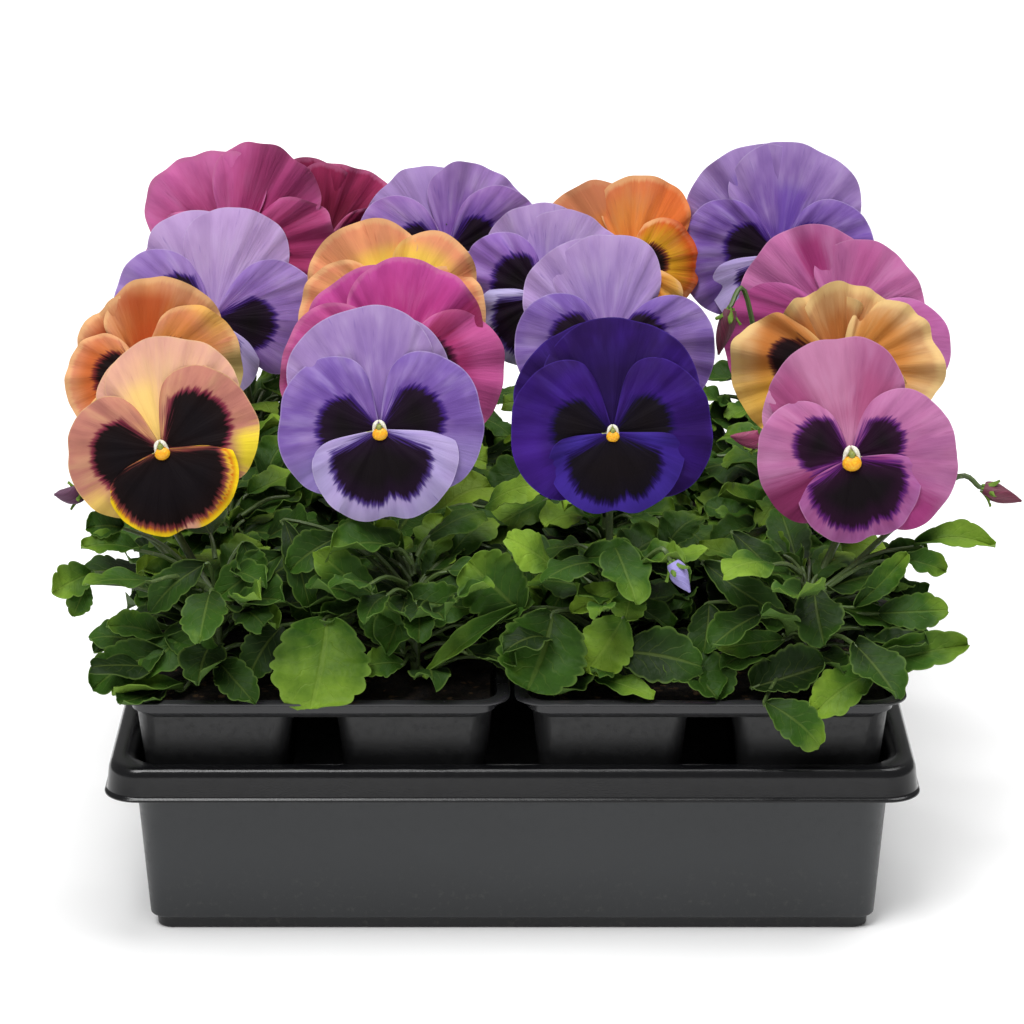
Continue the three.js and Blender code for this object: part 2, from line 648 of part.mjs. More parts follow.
function budSolid(bud) {
  const length = vector(bud.tip).distanceTo(vector(bud.foot));
  const outline = [[0, 0], [0.6, 0.2], [0.9, 0.5], [0.55, 0.82], [0, 1]];
  const profile = outline.map(([share, height]) => new THREE.Vector2(share * BUD.radius, height * length));
  return solidOf(new THREE.LatheGeometry(profile, 6).rotateX(Math.PI / 2));
}

const BUD_CALYX = { front: -GAP - 0.1, back: -3.4, reach: 6, waist: 2, lift: 4.2 };

// ---------------------------------------------------------------- one plant

function plantSolid(plant, centre, row, column) {
  const pieces = [];
  const base = SOIL.top - SOIL.holeDepth + GAP;
  pieces.push(prismSolid(STEM.radius, STEM.sides, base, STEM.top, centre[0], centre[1]));

  for (const bloom of BLOOMS.filter((entry) => entry.plant === plant)) {
    const frame = bloomFrame(bloom);
    const eye = vector(bloom.eye);
    const behind = ([distance, drop]) => {
      const place = vector([0, 0, -distance]).applyMatrix4(frame).add(eye);
      place.z -= drop;
      return place;
    };
    const rootHeight = STEM.top - STALK.rootDepth;
    const knee = behind(STALK.knee);
    pieces.push(stalkSolid([
      vector([centre[0], centre[1], rootHeight]),
      vector([mix(centre[0], knee.x, 0.55), mix(centre[1], knee.y, 0.55), mix(rootHeight, knee.z, 0.5)]),
      knee,
      behind(STALK.neck),
      behind(STALK.end),
    ]));
    pieces.push(calyxSolid(frame, eye, { ...CALYX, lift: 0 }));
  }

  for (const bud of BUDS.filter((entry) => entry.plant === plant)) {
    const frame = budFrame(bud);
    const foot = vector(bud.foot);
    pieces.push(stalkSolid([
      vector([centre[0], centre[1], STEM.top - 8]),
      vector([
        mix(centre[0], bud.bend[0], 0.5),
        mix(centre[1], bud.bend[1], 0.5),
        mix(STEM.top, bud.bend[2], 0.45),
      ]),
      vector(bud.bend),
      vector([0, 0, -2.2]).applyMatrix4(frame).add(foot),
    ], BUD.stalkRadius));
    pieces.push(calyxSolid(frame, foot, BUD_CALYX));
  }

  const seed = 100 + 10 * row + column;
  const leaves = [...frontLeaves(plant, centre), ...ordinaryLeaves(centre, row, column, seed)];
  pieces.push(...leaves.map(leafSolid));
  return joined(pieces).translate([-centre[0], -centre[1], -SOIL.top]);
}

// ---------------------------------------------------------------- the scene graph

function pieceMesh(name, geometry, color, roughness) {
  const mesh = new THREE.Mesh(geometry, new THREE.MeshStandardMaterial({ color, roughness, metalness: 0 }));
  mesh.name = name;
  return mesh;
}

const planter = new THREE.Group();
planter.add(pieceMesh('nursery_tray', geometryOf(traySolid()), 0x2b2c2f, 0.38));

const packGeometry = geometryOf(packSolid());
const soilGeometry = geometryOf(soilSolid());
const PACK_PLACES = ['front_left', 'front_right', 'back_left', 'back_right'];
PACK_PLACES.forEach((place, index) => {
  const [x, y] = QUARTERS[index];
  const group = new THREE.Group();
  group.position.set(x * PACK.centre, y * PACK.centre, 0);
  group.add(pieceMesh(`pack_${place}`, packGeometry, 0x1c1c1e, 0.45));
  group.add(pieceMesh(`soil_${place}`, soilGeometry, 0x1d1612, 0.95));
  planter.add(group);
});

ROWS.forEach((rowName, row) => {
  COLUMNS.forEach((columnName, column) => {
    const plant = `${rowName}${columnName}`;
    const centre = [cellCentre(column), cellCentre(row)];
    const geometry = geometryOf(plantSolid(plant, centre, row, column));
    const mesh = pieceMesh(`plant_${plant}`, geometry, 0x3f7a2a, 0.6);
    mesh.position.set(centre[0], centre[1], SOIL.top);
    planter.add(mesh);
  });
});

for (const bloom of BLOOMS) {
  const name = `bloom_${bloom.plant}_${bloom.name}`;
  const mesh = pieceMesh(name, geometryOf(bloomSolid(bloom)), bloom.color, 0.7);
  mesh.position.set(...bloom.eye);
  mesh.quaternion.setFromRotationMatrix(bloomFrame(bloom));
  planter.add(mesh);
}

BUDS.forEach((bud, index) => {
  const mesh = pieceMesh(`bud_${index + 1}`, geometryOf(budSolid(bud)), bud.color, 0.7);
  mesh.position.set(...bud.foot);
  mesh.quaternion.setFromRotationMatrix(budFrame(bud));
  planter.add(mesh);
});

export default planter;
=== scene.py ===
# A flat of pansies in bloom: sixteen plants in four plug packs of four cells, standing together in
# a black nursery tray. The code works in millimetres, and each mesh is made in metres. +Z is up, -Y
# the front, and the origin is the middle of the tray's foot. Rows of plants run from a, at the
# front, to d, and columns from 1, at the left.

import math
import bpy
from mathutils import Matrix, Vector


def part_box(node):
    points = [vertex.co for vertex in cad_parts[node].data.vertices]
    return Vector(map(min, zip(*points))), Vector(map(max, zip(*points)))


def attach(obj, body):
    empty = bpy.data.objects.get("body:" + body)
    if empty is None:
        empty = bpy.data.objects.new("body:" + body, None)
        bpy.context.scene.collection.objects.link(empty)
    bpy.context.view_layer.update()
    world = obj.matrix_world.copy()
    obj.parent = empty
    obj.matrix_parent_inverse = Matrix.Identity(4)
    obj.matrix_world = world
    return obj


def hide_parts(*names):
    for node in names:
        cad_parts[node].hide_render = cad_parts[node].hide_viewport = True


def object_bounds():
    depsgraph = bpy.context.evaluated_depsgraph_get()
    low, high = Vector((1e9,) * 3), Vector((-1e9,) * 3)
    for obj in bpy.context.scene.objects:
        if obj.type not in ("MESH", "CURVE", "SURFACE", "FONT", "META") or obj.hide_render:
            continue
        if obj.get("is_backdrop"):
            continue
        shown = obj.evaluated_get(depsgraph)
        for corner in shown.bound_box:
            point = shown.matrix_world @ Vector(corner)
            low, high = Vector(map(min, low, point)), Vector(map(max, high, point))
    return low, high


bl_info = {
    "name": "Pansy Flat",
    "version": (1, 0, 0),
    "blender": (4, 5, 0),
    "location": "View3D > Sidebar > Pansies",
    "description": "Dresses the packed solids of a tray of pansies",
    "category": "Object",
}

import bpy
import numpy as np
from mathutils import noise

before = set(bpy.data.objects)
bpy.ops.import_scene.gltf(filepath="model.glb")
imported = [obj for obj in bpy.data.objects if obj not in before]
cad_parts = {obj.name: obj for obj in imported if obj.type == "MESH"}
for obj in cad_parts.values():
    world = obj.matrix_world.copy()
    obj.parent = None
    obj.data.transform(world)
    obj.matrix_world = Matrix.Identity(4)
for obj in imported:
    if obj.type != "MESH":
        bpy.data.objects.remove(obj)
CAD_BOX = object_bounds()

MM = 0.001  # Blender's metres in a millimetre


def node_box(node):
    """The lowest and highest corner of a CAD node, in millimetres."""
    low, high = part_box(node)
    return np.array(low) / MM, np.array(high) / MM


# ------------------------------------------------------------------ properties

TRAY_BOX = node_box("nursery_tray")
PACK_BOX = node_box("pack_front_left")
SOIL_BOX = node_box("soil_front_left")


def linear(code):
    """The linear red, green and blue of a colour written as six hexadecimal digits."""
    parts = [int(code[k:k + 2], 16) / 255 for k in (0, 2, 4)]
    return tuple(p / 12.92 if p <= 0.04045 else ((p + 0.055) / 1.055) ** 2.4 for p in parts)


def length(name, description, millimetres):
    return bpy.props.FloatProperty(name=name, description=description, default=millimetres * MM,
                                   min=0.0, precision=5, unit="LENGTH")


def amount(name, description, default, most=10.0):
    return bpy.props.FloatProperty(name=name, description=description, default=default, min=0.0,
                                   max=most)


def colour(name, description, code):
    return bpy.props.FloatVectorProperty(name=name, description=description, size=3, min=0.0, max=1.0,
                                         default=linear(code), subtype="COLOR")


class TraySizes(bpy.types.PropertyGroup):
    """Sizes and colours of the nursery tray"""

    lip_half: length("Half width", "From the centre to the outside of the lip", TRAY_BOX[1][0])
    height: length("Height", "From the floor to the top of the rim", TRAY_BOX[1][2])
    lip_depth: length("Lip depth", "How far the lip turns down", 11.4)
    wall: length("Wall", "Thickness of the pressed sheet", 1.6)
    corner: length("Corner radius", "Radius of the tray's corners", 12)
    plastic: colour("Wall colour", "Plastic of the wall", "2b2d2f")
    rim: colour("Rim colour", "Polished plastic of the rim and lip", "0d0d0f")


class PackSizes(bpy.types.PropertyGroup):
    """Sizes and colours of the plug packs"""

    wall: length("Wall", "Thickness of the pressed sheet", 0.9)
    cell_top: length("Cell top", "Half width of a cell at its mouth", 26.6)
    cell_bottom: length("Cell bottom", "Half width of a cell at its foot", 18.4)
    band: length("Band", "Depth of the upright band below the flange", 4.6)
    drain: length("Drain hole", "Radius of the hole in each cell", 3)
    plastic: colour("Cell colour", "Thin black plastic of the cells", "1d1d1e")
    band_shade: colour("Band colour", "Thin black plastic of the band and flange", "313133")


class CompostSizes(bpy.types.PropertyGroup):
    """Sizes and colours of the compost"""

    crumb: length("Crumbs", "Height of the crumbs on top", 1.6)
    peat: colour("Peat", "Dark fibres of the compost", "17120e")
    bark: colour("Bark", "Paler crumbs of the compost", "4a3626")


class PlantSizes(bpy.types.PropertyGroup):
    """Sizes and colours of stems and leaves"""

    stem: length("Stem radius", "Radius of a plant's stem", 2)
    stalk: length("Stalk radius", "Radius of a flower's stalk", 1.3)
    leaf: length("Leaf thickness", "Thickness of a leaf at its middle", 0.5)
    scallop: amount("Scallops", "Depth of the notches in a leaf's edge", 0.15, 0.4)
    extra_leaves: bpy.props.IntProperty(name="Leaves inside", default=34, min=0, max=60,
                                        description="Small leaves inside each plant")
    shade: colour("Dark leaf", "Leaves in the shade", "182a0c")
    fresh: colour("Fresh leaf", "Ordinary leaves", "325316")
    lime: colour("Pale leaf", "Young and sunlit leaves", "88a835")
    stem_green: colour("Stem green", "Stems and leaf stalks", "4e6430")


class BloomSizes(bpy.types.PropertyGroup):
    """Sizes and colours that the blooms share"""

    petal: length("Petal thickness", "Thickness of a petal at its foot", 0.5)
    crinkle: length("Crinkle", "Height of the fine folds that run out from the heart", 0.65)
    tooth: length("Teeth", "Length of the teeth round a blotch", 2.6)
    lip: colour("Eye", "Orange lip of the eye", "f0a010")
    brow: colour("Brows", "Pale hairs over the eye", "d8d2be")
    stigma: colour("Stigma", "Green knob in the eye", "8d9440")


class StageSettings(bpy.types.PropertyGroup):
    """The floor and the lights"""

    floor: colour("Floor", "Plain pale floor", "fbfbfb")
    sky: amount("Sky", "Strength of the light from all round", 0.27)
    front: amount("Front light", "Strength of the soft light in front", 2.15)
    top: amount("Top light", "Strength of the soft light overhead", 2.0)


# ------------------------------------------------------------------ finishes


class Finish:
    """The node graph of one finish. Each method adds nodes and returns the socket that they give."""

    def __init__(self, name):
        self.material = bpy.data.materials.new(name)
        self.material.use_nodes = True
        self.tree = self.material.node_tree
        self.tree.nodes.clear()

    def node(self, kind, inputs, out=0, **settings):
        made = self.tree.nodes.new(kind)
        for setting, value in settings.items():
            setattr(made, setting, value)
        for socket, value in inputs.items():
            if isinstance(value, bpy.types.NodeSocket):
                self.tree.links.new(value, made.inputs[socket])
            elif made.inputs[socket].type == "RGBA":
                made.inputs[socket].default_value = (*value, 1.0)
            else:
                made.inputs[socket].default_value = value
        return made.outputs[out]

    def math(self, operation, first, second=0.0, third=0.5):
        return self.node("ShaderNodeMath", {0: first, 1: second, 2: third}, operation=operation)

    def plus(self, first, second):
        return self.math("ADD", first, second)

    def times(self, first, second):
        return self.math("MULTIPLY", first, second)

    def swing(self, value, width):
        """A value between 0 and 1, moved to lie round zero and stretched to this width."""
        return self.times(self.math("SUBTRACT", value, 0.5), width)

    def away(self, value, middle):
        """How far a value is from the middle, to either side."""
        return self.math("ABSOLUTE", self.math("SUBTRACT", value, middle))

    def step(self, value, low, high):
        """0 at low and beyond, 1 at high and beyond, eased between them. Low may be the larger."""
        inputs = {0: value, 1: low, 2: high}
        return self.node("ShaderNodeMapRange", inputs, interpolation_type="SMOOTHSTEP")

    def blend(self, share, first, second, how="MIX"):
        return self.node("ShaderNodeMix", {0: share, 6: first, 7: second}, out=2, data_type="RGBA",
                         blend_type=how)

    def coat(self, shade, share, code, strength=1.0):
        """The shade with another colour over it, as far as the share and the strength say."""
        return self.blend(self.times(share, strength), shade, linear(code))

    def dim(self, shade, share, factors):
        """The shade with its red, green and blue multiplied, as far as the share says."""
        return self.blend(share, shade, factors, "MULTIPLY")

    def ramp(self, share, *stops):
        """Colours along 0 to 1, each as (place, colour)."""
        made = self.tree.nodes.new("ShaderNodeValToRGB")
        places = made.color_ramp.elements
        while len(places) < len(stops):
            places.new(0.5)
        for element, (place, shade) in zip(places, stops):
            element.position = place
            element.color = (*shade, 1.0)
        self.tree.links.new(share, made.inputs[0])
        return made.outputs[0]

    def reading(self, name):
        """The three numbers that a piece's mesh keeps at each point under this name."""
        vector = self.node("ShaderNodeAttribute", {}, out=1, attribute_name=name)
        parts = self.tree.nodes.new("ShaderNodeSeparateXYZ")
        self.tree.links.new(vector, parts.inputs[0])
        return parts.outputs[0], parts.outputs[1], parts.outputs[2]

    def place(self):
        """Where a point is on the piece, in millimetres."""
        here = self.node("ShaderNodeTexCoord", {}, out=3)
        return self.node("ShaderNodeVectorMath", {0: here, 3: 1 / MM}, operation="SCALE")

    def vector(self, x, y, z):
        return self.node("ShaderNodeCombineXYZ", {0: x, 1: y, 2: z})

    def noise(self, vector, scale, detail=2.0, roughness=0.5):
        inputs = {"Vector": vector, "Scale": scale, "Detail": detail, "Roughness": roughness}
        return self.node("ShaderNodeTexNoise", inputs)

    def bump(self, height, strength, millimetres):
        inputs = {"Height": height, "Strength": strength, "Distance": millimetres * MM}
        return self.node("ShaderNodeBump", inputs)

    def shader(self, **inputs):
        """Ends the graph. Words in the inputs' names are parted by underscores."""
        named = {name.replace("_", " "): value for name, value in inputs.items()}
        end = self.tree.nodes.new("ShaderNodeOutputMaterial")
        self.tree.links.new(self.node("ShaderNodeBsdfPrincipled", named), end.inputs["Surface"])
        return self.material


DUST = "6d6a64"
# Painted shade at the lowest part of a wall.
PAINTED_FOOT_SHADE = (3.0, 4.5)  # heights above the floor, between which a wall darkens to its foot


def moulded_plastic(name, wall, rim, rim_height, gloss, scratches):
    """Pressed black plastic, satin on the walls and polished from the rim's height up, with
    scuffs. The wall is dustier towards its foot, and painted shade darkens it there."""
    finish = Finish(name)
    here = finish.place()
    height = finish.node("ShaderNodeSeparateXYZ", {0: here}, out=2)
    polished = finish.step(height, rim_height - 0.6, rim_height + 0.2)
    clouds = finish.noise(here, 0.02, 3.0)
    scuffs = finish.noise(here, 0.35, 6.0, 0.7)
    grain = finish.noise(here, 2.5, 2.0)
    shade = finish.blend(polished, wall, rim)
    shade = finish.dim(shade, finish.step(clouds, 0.35, 0.75), (1.12, 1.12, 1.12))
    # Painted shade: the wall darkens towards the floor, where less light reaches, and more at its very foot.
    shade = finish.dim(shade, finish.step(height, rim_height * 0.55, 0.0), (0.82, 0.82, 0.82))
    shade = finish.dim(shade, finish.step(height, PAINTED_FOOT_SHADE[1], PAINTED_FOOT_SHADE[0]), (0.5, 0.5, 0.5))
    dusty = finish.times(finish.step(height, rim_height * 0.7, 0.0), finish.step(scuffs, 0.52, 0.8))
    shade = finish.coat(shade, dusty, DUST, 0.3)
    rough = finish.math("MULTIPLY_ADD", finish.step(scuffs, 0.4, 0.8), scratches, gloss)
    # Halfway along this step, where the rim is fully polished, the plastic is half as rough.
    rough = finish.times(rough, finish.step(polished, 2.0, 0.0))
    relief = finish.plus(finish.times(clouds, 6.0), grain)
    return finish.shader(Base_Color=shade, Roughness=rough, Specular_IOR_Level=0.4,
                         Normal=finish.bump(relief, 0.25, 0.12))


CRUMB_SCALE = 0.45  # crumbs in a millimetre, so they are about 2 mm across
PEAT_MIDDLE, BARK_SPECK, CRUMB_GAP_SHADE = "2a2018", "6b5238", "0b0806"


def compost_finish(sizes):
    """Damp peat with paler crumbs of bark, and painted shade in the gaps between them."""
    finish = Finish("damp_compost")
    here = finish.place()
    crumbs, tones = (finish.node("ShaderNodeTexVoronoi", {"Vector": here, "Scale": CRUMB_SCALE}, out=k)
                     for k in (0, 1))
    fine = finish.noise(here, 1.3, 5.0, 0.65)
    shade = finish.ramp(fine, (0.3, sizes.peat), (0.62, linear(PEAT_MIDDLE)), (0.8, sizes.bark))
    shade = finish.coat(shade, finish.step(tones, 0.78, 0.9), BARK_SPECK)
    # Painted shade in the sunken gaps between the crumbs.
    shade = finish.coat(shade, finish.step(crumbs, 0.25, 0.9), CRUMB_GAP_SHADE)
    relief = finish.math("SUBTRACT", fine, finish.times(crumbs, 0.8))
    return finish.shader(Base_Color=shade, Roughness=0.9, Specular_IOR_Level=0.3,
                         Normal=finish.bump(relief, 0.9, 1.2))


LEAF_VEIN, LEAF_EDGE_HIGHLIGHT, LEAF_BACK = "98ac50", "7d9a44", "5f7c3c"
SIDE_VEINS = 6.5  # side veins along a leaf


def leaf_veins(finish, here, along, outward):
    """The midrib, and side veins that leave it at a slant and wander a little."""
    slant = finish.math("SUBTRACT", finish.times(along, SIDE_VEINS), finish.times(outward, 2.0))
    wander = finish.times(finish.noise(here, 0.25, 1.0), 0.9)
    ladder = finish.math("PINGPONG", finish.plus(slant, wander), 0.5)
    side_veins = finish.times(finish.step(ladder, 0.09, 0.02), finish.step(outward, 0.95, 0.3))
    midrib = finish.step(outward, 0.09, 0.03)
    return finish.math("MAXIMUM", finish.times(side_veins, 0.5), midrib)


def leaf_finish(sizes):
    """A pansy leaf: satin green with a paler midrib and veins and a painted highlight along its edge,
    duller and paler underneath.

    The mesh keeps two readings at each point: leaf (share of the way to the tip, place across the
    blade from -1 to 1, tone, which also carries painted light and shade) and under (1 on the
    underside)."""
    finish = Finish("pansy_leaf")
    along, across, tone = finish.reading("leaf")
    under, _, _ = finish.reading("under")
    here = finish.place()
    outward = finish.math("ABSOLUTE", across)
    mottle = finish.noise(here, 0.6, 4.0, 0.6)
    tone = finish.plus(tone, finish.swing(finish.noise(here, 0.09, 3.0), 0.5))
    shade = finish.ramp(tone, (0.05, sizes.shade), (0.5, sizes.fresh), (0.95, sizes.lime))
    veins = leaf_veins(finish, here, along, outward)
    pale = finish.blend(0.4, shade, linear(LEAF_VEIN))
    shade = finish.blend(finish.times(veins, 0.3), shade, pale)
    shade = finish.dim(shade, finish.step(mottle, 0.45, 0.8), (0.8, 0.86, 0.75))
    # Painted highlight along the edge of the blade.
    shade = finish.coat(shade, finish.step(outward, 0.88, 1.0), LEAF_EDGE_HIGHLIGHT, 0.25)
    shade = finish.blend(under, shade, finish.blend(0.4, shade, linear(LEAF_BACK)))
    rough = finish.math("MULTIPLY_ADD", mottle, 0.25, 0.4)
    puckers = finish.times(finish.noise(here, 0.3, 2.0), 2.0)
    relief = finish.math("SUBTRACT", puckers, veins)
    return finish.shader(Base_Color=shade, Roughness=rough, Specular_IOR_Level=0.12,
                         Normal=finish.bump(relief, 0.5, 0.5))


STEM_FLUSH, STEM_RIB = "3a4824", "788c48"


def stem_finish(sizes):
    """Green stems, flushed brown in places, with fine ribs along them."""
    finish = Finish("pansy_stem")
    here = finish.place()
    flush = finish.noise(here, 0.05, 2.0)
    fine = finish.noise(here, 0.9, 3.0)
    shade = finish.ramp(flush, (0.35, sizes.stem_green), (0.7, linear(STEM_FLUSH)))
    shade = finish.coat(shade, finish.step(fine, 0.55, 0.85), STEM_RIB)
    return finish.shader(Base_Color=shade, Roughness=0.45, Normal=finish.bump(fine, 0.4, 0.3))


PETAL_MARK = 10  # the first petal's number in the reading polar; the others count on from it
BLOTCH_THROAT = "100a0e"  # the darkest part of a blotch, next to the eye
STALK_GREEN = "b7bb7a"  # the back of a bloom, round its stalk


class PetalFinish(Finish):
    """Velvety petals: colours that run out from the heart in fine streaks, and a toothed blotch.

    The mesh keeps three readings at each point: polar (bearing from the petal's middle in radians,
    distance from the eye in millimetres, the petal's number), mark (depth inside the blotch and
    distance from the rim in millimetres, share of the way to the rim) and sort (1 on a side petal,
    1 on the lower petal, 1 on a back)."""

    def __init__(self, name, paint, tooth):
        super().__init__("petals_" + name)
        self.paint = paint
        self.tooth = paint.get("teeth", tooth)
        self.bearing, self.outward, self.petal = self.reading("polar")
        self.depth, self.rim, self.share = self.reading("mark")
        self.side, self.low, self.back = self.reading("sort")
        self.streaks = self.noise(self.fan(26.0, 0.07, 7.3), 1.0, 3.0, 0.55)
        self.swathes = self.noise(self.fan(7.0, 0.06, 5.1), 1.0, 2.0)

    def fan(self, sideways, outward, apart):
        """A vector that draws a noise out into streaks from the heart, other ones on each petal."""
        return self.vector(self.times(self.bearing, sideways), self.times(self.outward, outward),
                           self.times(self.petal, apart))

    def heart_to_rim(self, kind, run):
        inner, middle, outer = (linear(code) for code in self.paint[kind])
        return self.ramp(run, (0.18, inner), (0.55, middle), (0.95, outer))

    def ground(self, here):
        """Each kind of petal in its own colours, with veins and clouds, and swathes of painted shade and
        painted light as on soft folds.
        """
        jitter = self.plus(self.swing(self.streaks, 0.34), self.swing(self.swathes, 0.4))
        run = self.plus(self.share, jitter)
        shade = self.blend(self.side, self.heart_to_rim("top", run), self.heart_to_rim("side", run))
        shade = self.blend(self.low, shade, self.heart_to_rim("low", run))
        veins = self.step(self.streaks, 0.6, 0.78)
        shade = self.coat(shade, veins, self.paint["vein"], self.paint["veins"])
        clouds = self.noise(here, 0.07, 2.0)
        shade = self.coat(shade, self.step(clouds, 0.4, 0.75), self.paint["cloud"], 0.25)
        # Painted shade in the darker swathes and painted light in the paler ones, as on soft folds.
        shade = self.dim(shade, self.step(self.swathes, 0.55, 0.3), (0.86, 0.83, 0.88))
        return self.coat(shade, self.step(self.swathes, 0.5, 0.72), self.paint["edge"], 0.13)

    def cut_edge(self, shade):
        """A pale line where the cut edge of the petal catches the light."""
        line = self.times(self.step(self.rim, 0.55, 0.1), self.times(self.streaks, 0.5))
        return self.coat(shade, line, self.paint["edge"])

    def hem(self, shade, code, width, strength):
        """A paler rim that fades inwards along the streaks."""
        inward = self.plus(self.rim, self.swing(self.streaks, 3.0))
        return self.coat(shade, self.step(inward, width, width * 0.3), code, strength)

    def picotee(self, shade, inner, outer, width):
        """A narrow rim in two colours on the lower petal."""
        inward = self.plus(self.rim, self.swing(self.streaks, 4.0))
        across = self.math("DIVIDE", self.rim, width)
        band = self.ramp(across, (0.25, linear(outer)), (0.9, linear(inner)))
        return self.blend(self.times(self.step(inward, width, width * 0.6), self.low), shade, band)

    def patch(self, shade, petal, middle, half, near, far, code, strength):
        """A patch of another colour on one petal, soft at its sides and ends."""
        aside = self.plus(self.away(self.bearing, math.radians(middle)), self.swing(self.streaks, 0.2))
        there = self.times(self.step(aside, math.radians(half), math.radians(half * 0.3)),
                           self.step(self.away(self.petal, petal + PETAL_MARK), 0.6, 0.4))
        between = self.times(self.step(self.outward, near - 4.0, near + 3.0),
                             self.step(self.outward, far + 4.0, far - 4.0))
        return self.coat(shade, self.times(there, between), code, strength)

    def blotch(self, shade):
        """The dark velvety blotch, with a fringe of teeth that run out from it."""
        toothed = self.plus(self.depth, self.swing(self.streaks, self.tooth * 2.4))
        shade = self.coat(shade, self.step(toothed, -1.6, 0.3), self.paint["fringe"], 0.92)
        velvet = self.blend(self.step(self.depth, 1.0, 9.0), linear(self.paint["core"]),
                            linear(BLOTCH_THROAT))
        return self.blend(self.step(toothed, -0.1, 1.9), shade, velvet)

    def backs(self, shade):
        """The backs, paler and more even, and green round the stalk."""
        washed = self.blend(0.4, shade, linear(self.paint["top"][2]))
        green_heart = self.blend(self.step(self.outward, 16.0, 4.0), washed, linear(STALK_GREEN))
        return self.blend(self.back, shade, green_heart)


def petal_finish(name, paint, tooth):
    finish = PetalFinish(name, paint, tooth)
    here = finish.place()
    shade = finish.cut_edge(finish.ground(here))
    if "hem" in paint:
        shade = finish.hem(shade, *paint["hem"])
    if "picotee" in paint:
        shade = finish.picotee(shade, *paint["picotee"])
    for patch in paint["patches"]:
        shade = finish.patch(shade, *patch)
    shade = finish.backs(finish.blotch(shade))
    grain = finish.noise(here, 3.0, 2.0)
    relief = finish.plus(finish.times(finish.streaks, 1.6), finish.times(grain, 0.25))
    return finish.shader(Base_Color=shade, Roughness=0.7, Specular_IOR_Level=0.08,
                         Normal=finish.bump(relief, 0.5, 0.35))


def eye_finish(name, shade, tip):
    """The small parts of a bloom's eye, flecked with a second colour."""
    finish = Finish(name)
    fine = finish.noise(finish.place(), 1.5, 3.0)
    mixed = finish.blend(finish.step(fine, 0.4, 0.7), shade, tip)
    return finish.shader(Base_Color=mixed, Roughness=0.5, Normal=finish.bump(fine, 0.5, 0.3))


def bud_finish(name, dark, light):
    """Furled petals: long folds that wind to the bud's tip.

    The mesh keeps one reading at each point, furl: place round the bud, share of its length."""
    finish = Finish("bud_" + name)
    turn, height, _ = finish.reading("furl")
    folds = finish.noise(finish.vector(finish.times(turn, 9.0), height, 0.0), 1.0, 3.0)
    shade = finish.ramp(folds, (0.3, linear(dark)), (0.75, linear(light)))
    return finish.shader(Base_Color=shade, Roughness=0.55, Sheen_Weight=0.1,
                         Normal=finish.bump(folds, 0.6, 0.5))


# ------------------------------------------------------------------ meshes


class Body:
    """A growing mesh: points in millimetres, faces, and the readings that its finishes use."""

    def __init__(self, *readings):
        self.points = []
        self.faces = []
        self.kinds = []
        self.readings = {name: [] for name in readings}
        self.count = 0

    def add(self, points, faces, kind=0, **readings):
        points = np.asarray(points, dtype=float).reshape(-1, 3)
        for name, kept in self.readings.items():
            values = np.asarray(readings.get(name, (0.0, 0.0, 0.0)), dtype=float)
            kept.append(np.broadcast_to(values, points.shape))
        self.faces.extend([int(corner) + self.count for corner in face] for face in faces)
        self.kinds.extend([kind] * len(faces))
        self.points.append(points)
        self.count += len(points)

    def piece(self, name, *finishes, sharp=60):
        mesh = bpy.data.meshes.new(name)
        mesh.from_pydata(np.vstack(self.points) * MM, [], self.faces)
        for key, kept in self.readings.items():
            layer = mesh.attributes.new(key, "FLOAT_VECTOR", "POINT")
            layer.data.foreach_set("vector", np.vstack(kept).astype(np.float32).ravel())
        for finish in finishes:
            mesh.materials.append(finish)
        mesh.polygons.foreach_set("material_index", self.kinds)
        mesh.shade_smooth()
        mesh.set_sharp_from_angle(angle=math.radians(sharp))
        mesh.update()
        made = bpy.data.objects.new(name, mesh)
        bpy.context.scene.collection.objects.link(made)
        return made


def grid_faces(rows, columns, closed=False):
    """Quads of a grid of points, whose columns meet again if it is closed."""
    last = columns if closed else columns - 1
    faces = []
    for row in range(rows - 1):
        for column in range(last):
            here = row * columns + column
            beside = row * columns + (column + 1) % columns
            faces.append((here, beside, beside + columns, here + columns))
    return faces


def unit(vector):
    vector = np.asarray(vector, dtype=float)
    return vector / np.linalg.norm(vector)


def columns_of(shape, *parts):
    """Each part spread over a grid of this shape and laid out as one column."""
    return np.column_stack([np.broadcast_to(part, shape).ravel() for part in parts])


def blade(middle, thickness):
    """A thin closed sheet round a grid of points, (rows, columns, 3). Its points are those of the
    front, row by row, and then those of the back."""
    rows, columns = middle.shape[:2]
    normal = np.cross(np.gradient(middle, axis=0), np.gradient(middle, axis=1))
    normal /= np.maximum(np.linalg.norm(normal, axis=2, keepdims=True), 1e-9)
    half = normal * np.broadcast_to(thickness, (rows, columns))[..., None] / 2
    points = np.vstack(((middle + half).reshape(-1, 3), (middle - half).reshape(-1, 3)))
    front = grid_faces(rows, columns)
    count = rows * columns
    faces = [face[::-1] for face in front] + [tuple(corner + count for corner in face) for face in front]
    border = [*range(columns), *(row * columns + columns - 1 for row in range(1, rows)),
              *((rows - 1) * columns + column for column in range(columns - 2, -1, -1)),
              *(row * columns for row in range(rows - 2, 0, -1))]
    for here, there in zip(border, border[1:] + border[:1]):
        faces.append((here, there, there + count, here + count))
    return points, faces


def skin(rings):
    """A closed body over a row of rings, (levels, points, 3), with its two ends closed."""
    levels, count = rings.shape[:2]
    faces = grid_faces(levels, count, closed=True)
    faces.append(tuple(range(count))[::-1])
    faces.append(tuple((levels - 1) * count + k for k in range(count)))
    return rings.reshape(-1, 3), faces


CORNERS = ((1, 1), (-1, 1), (-1, -1), (1, -1))


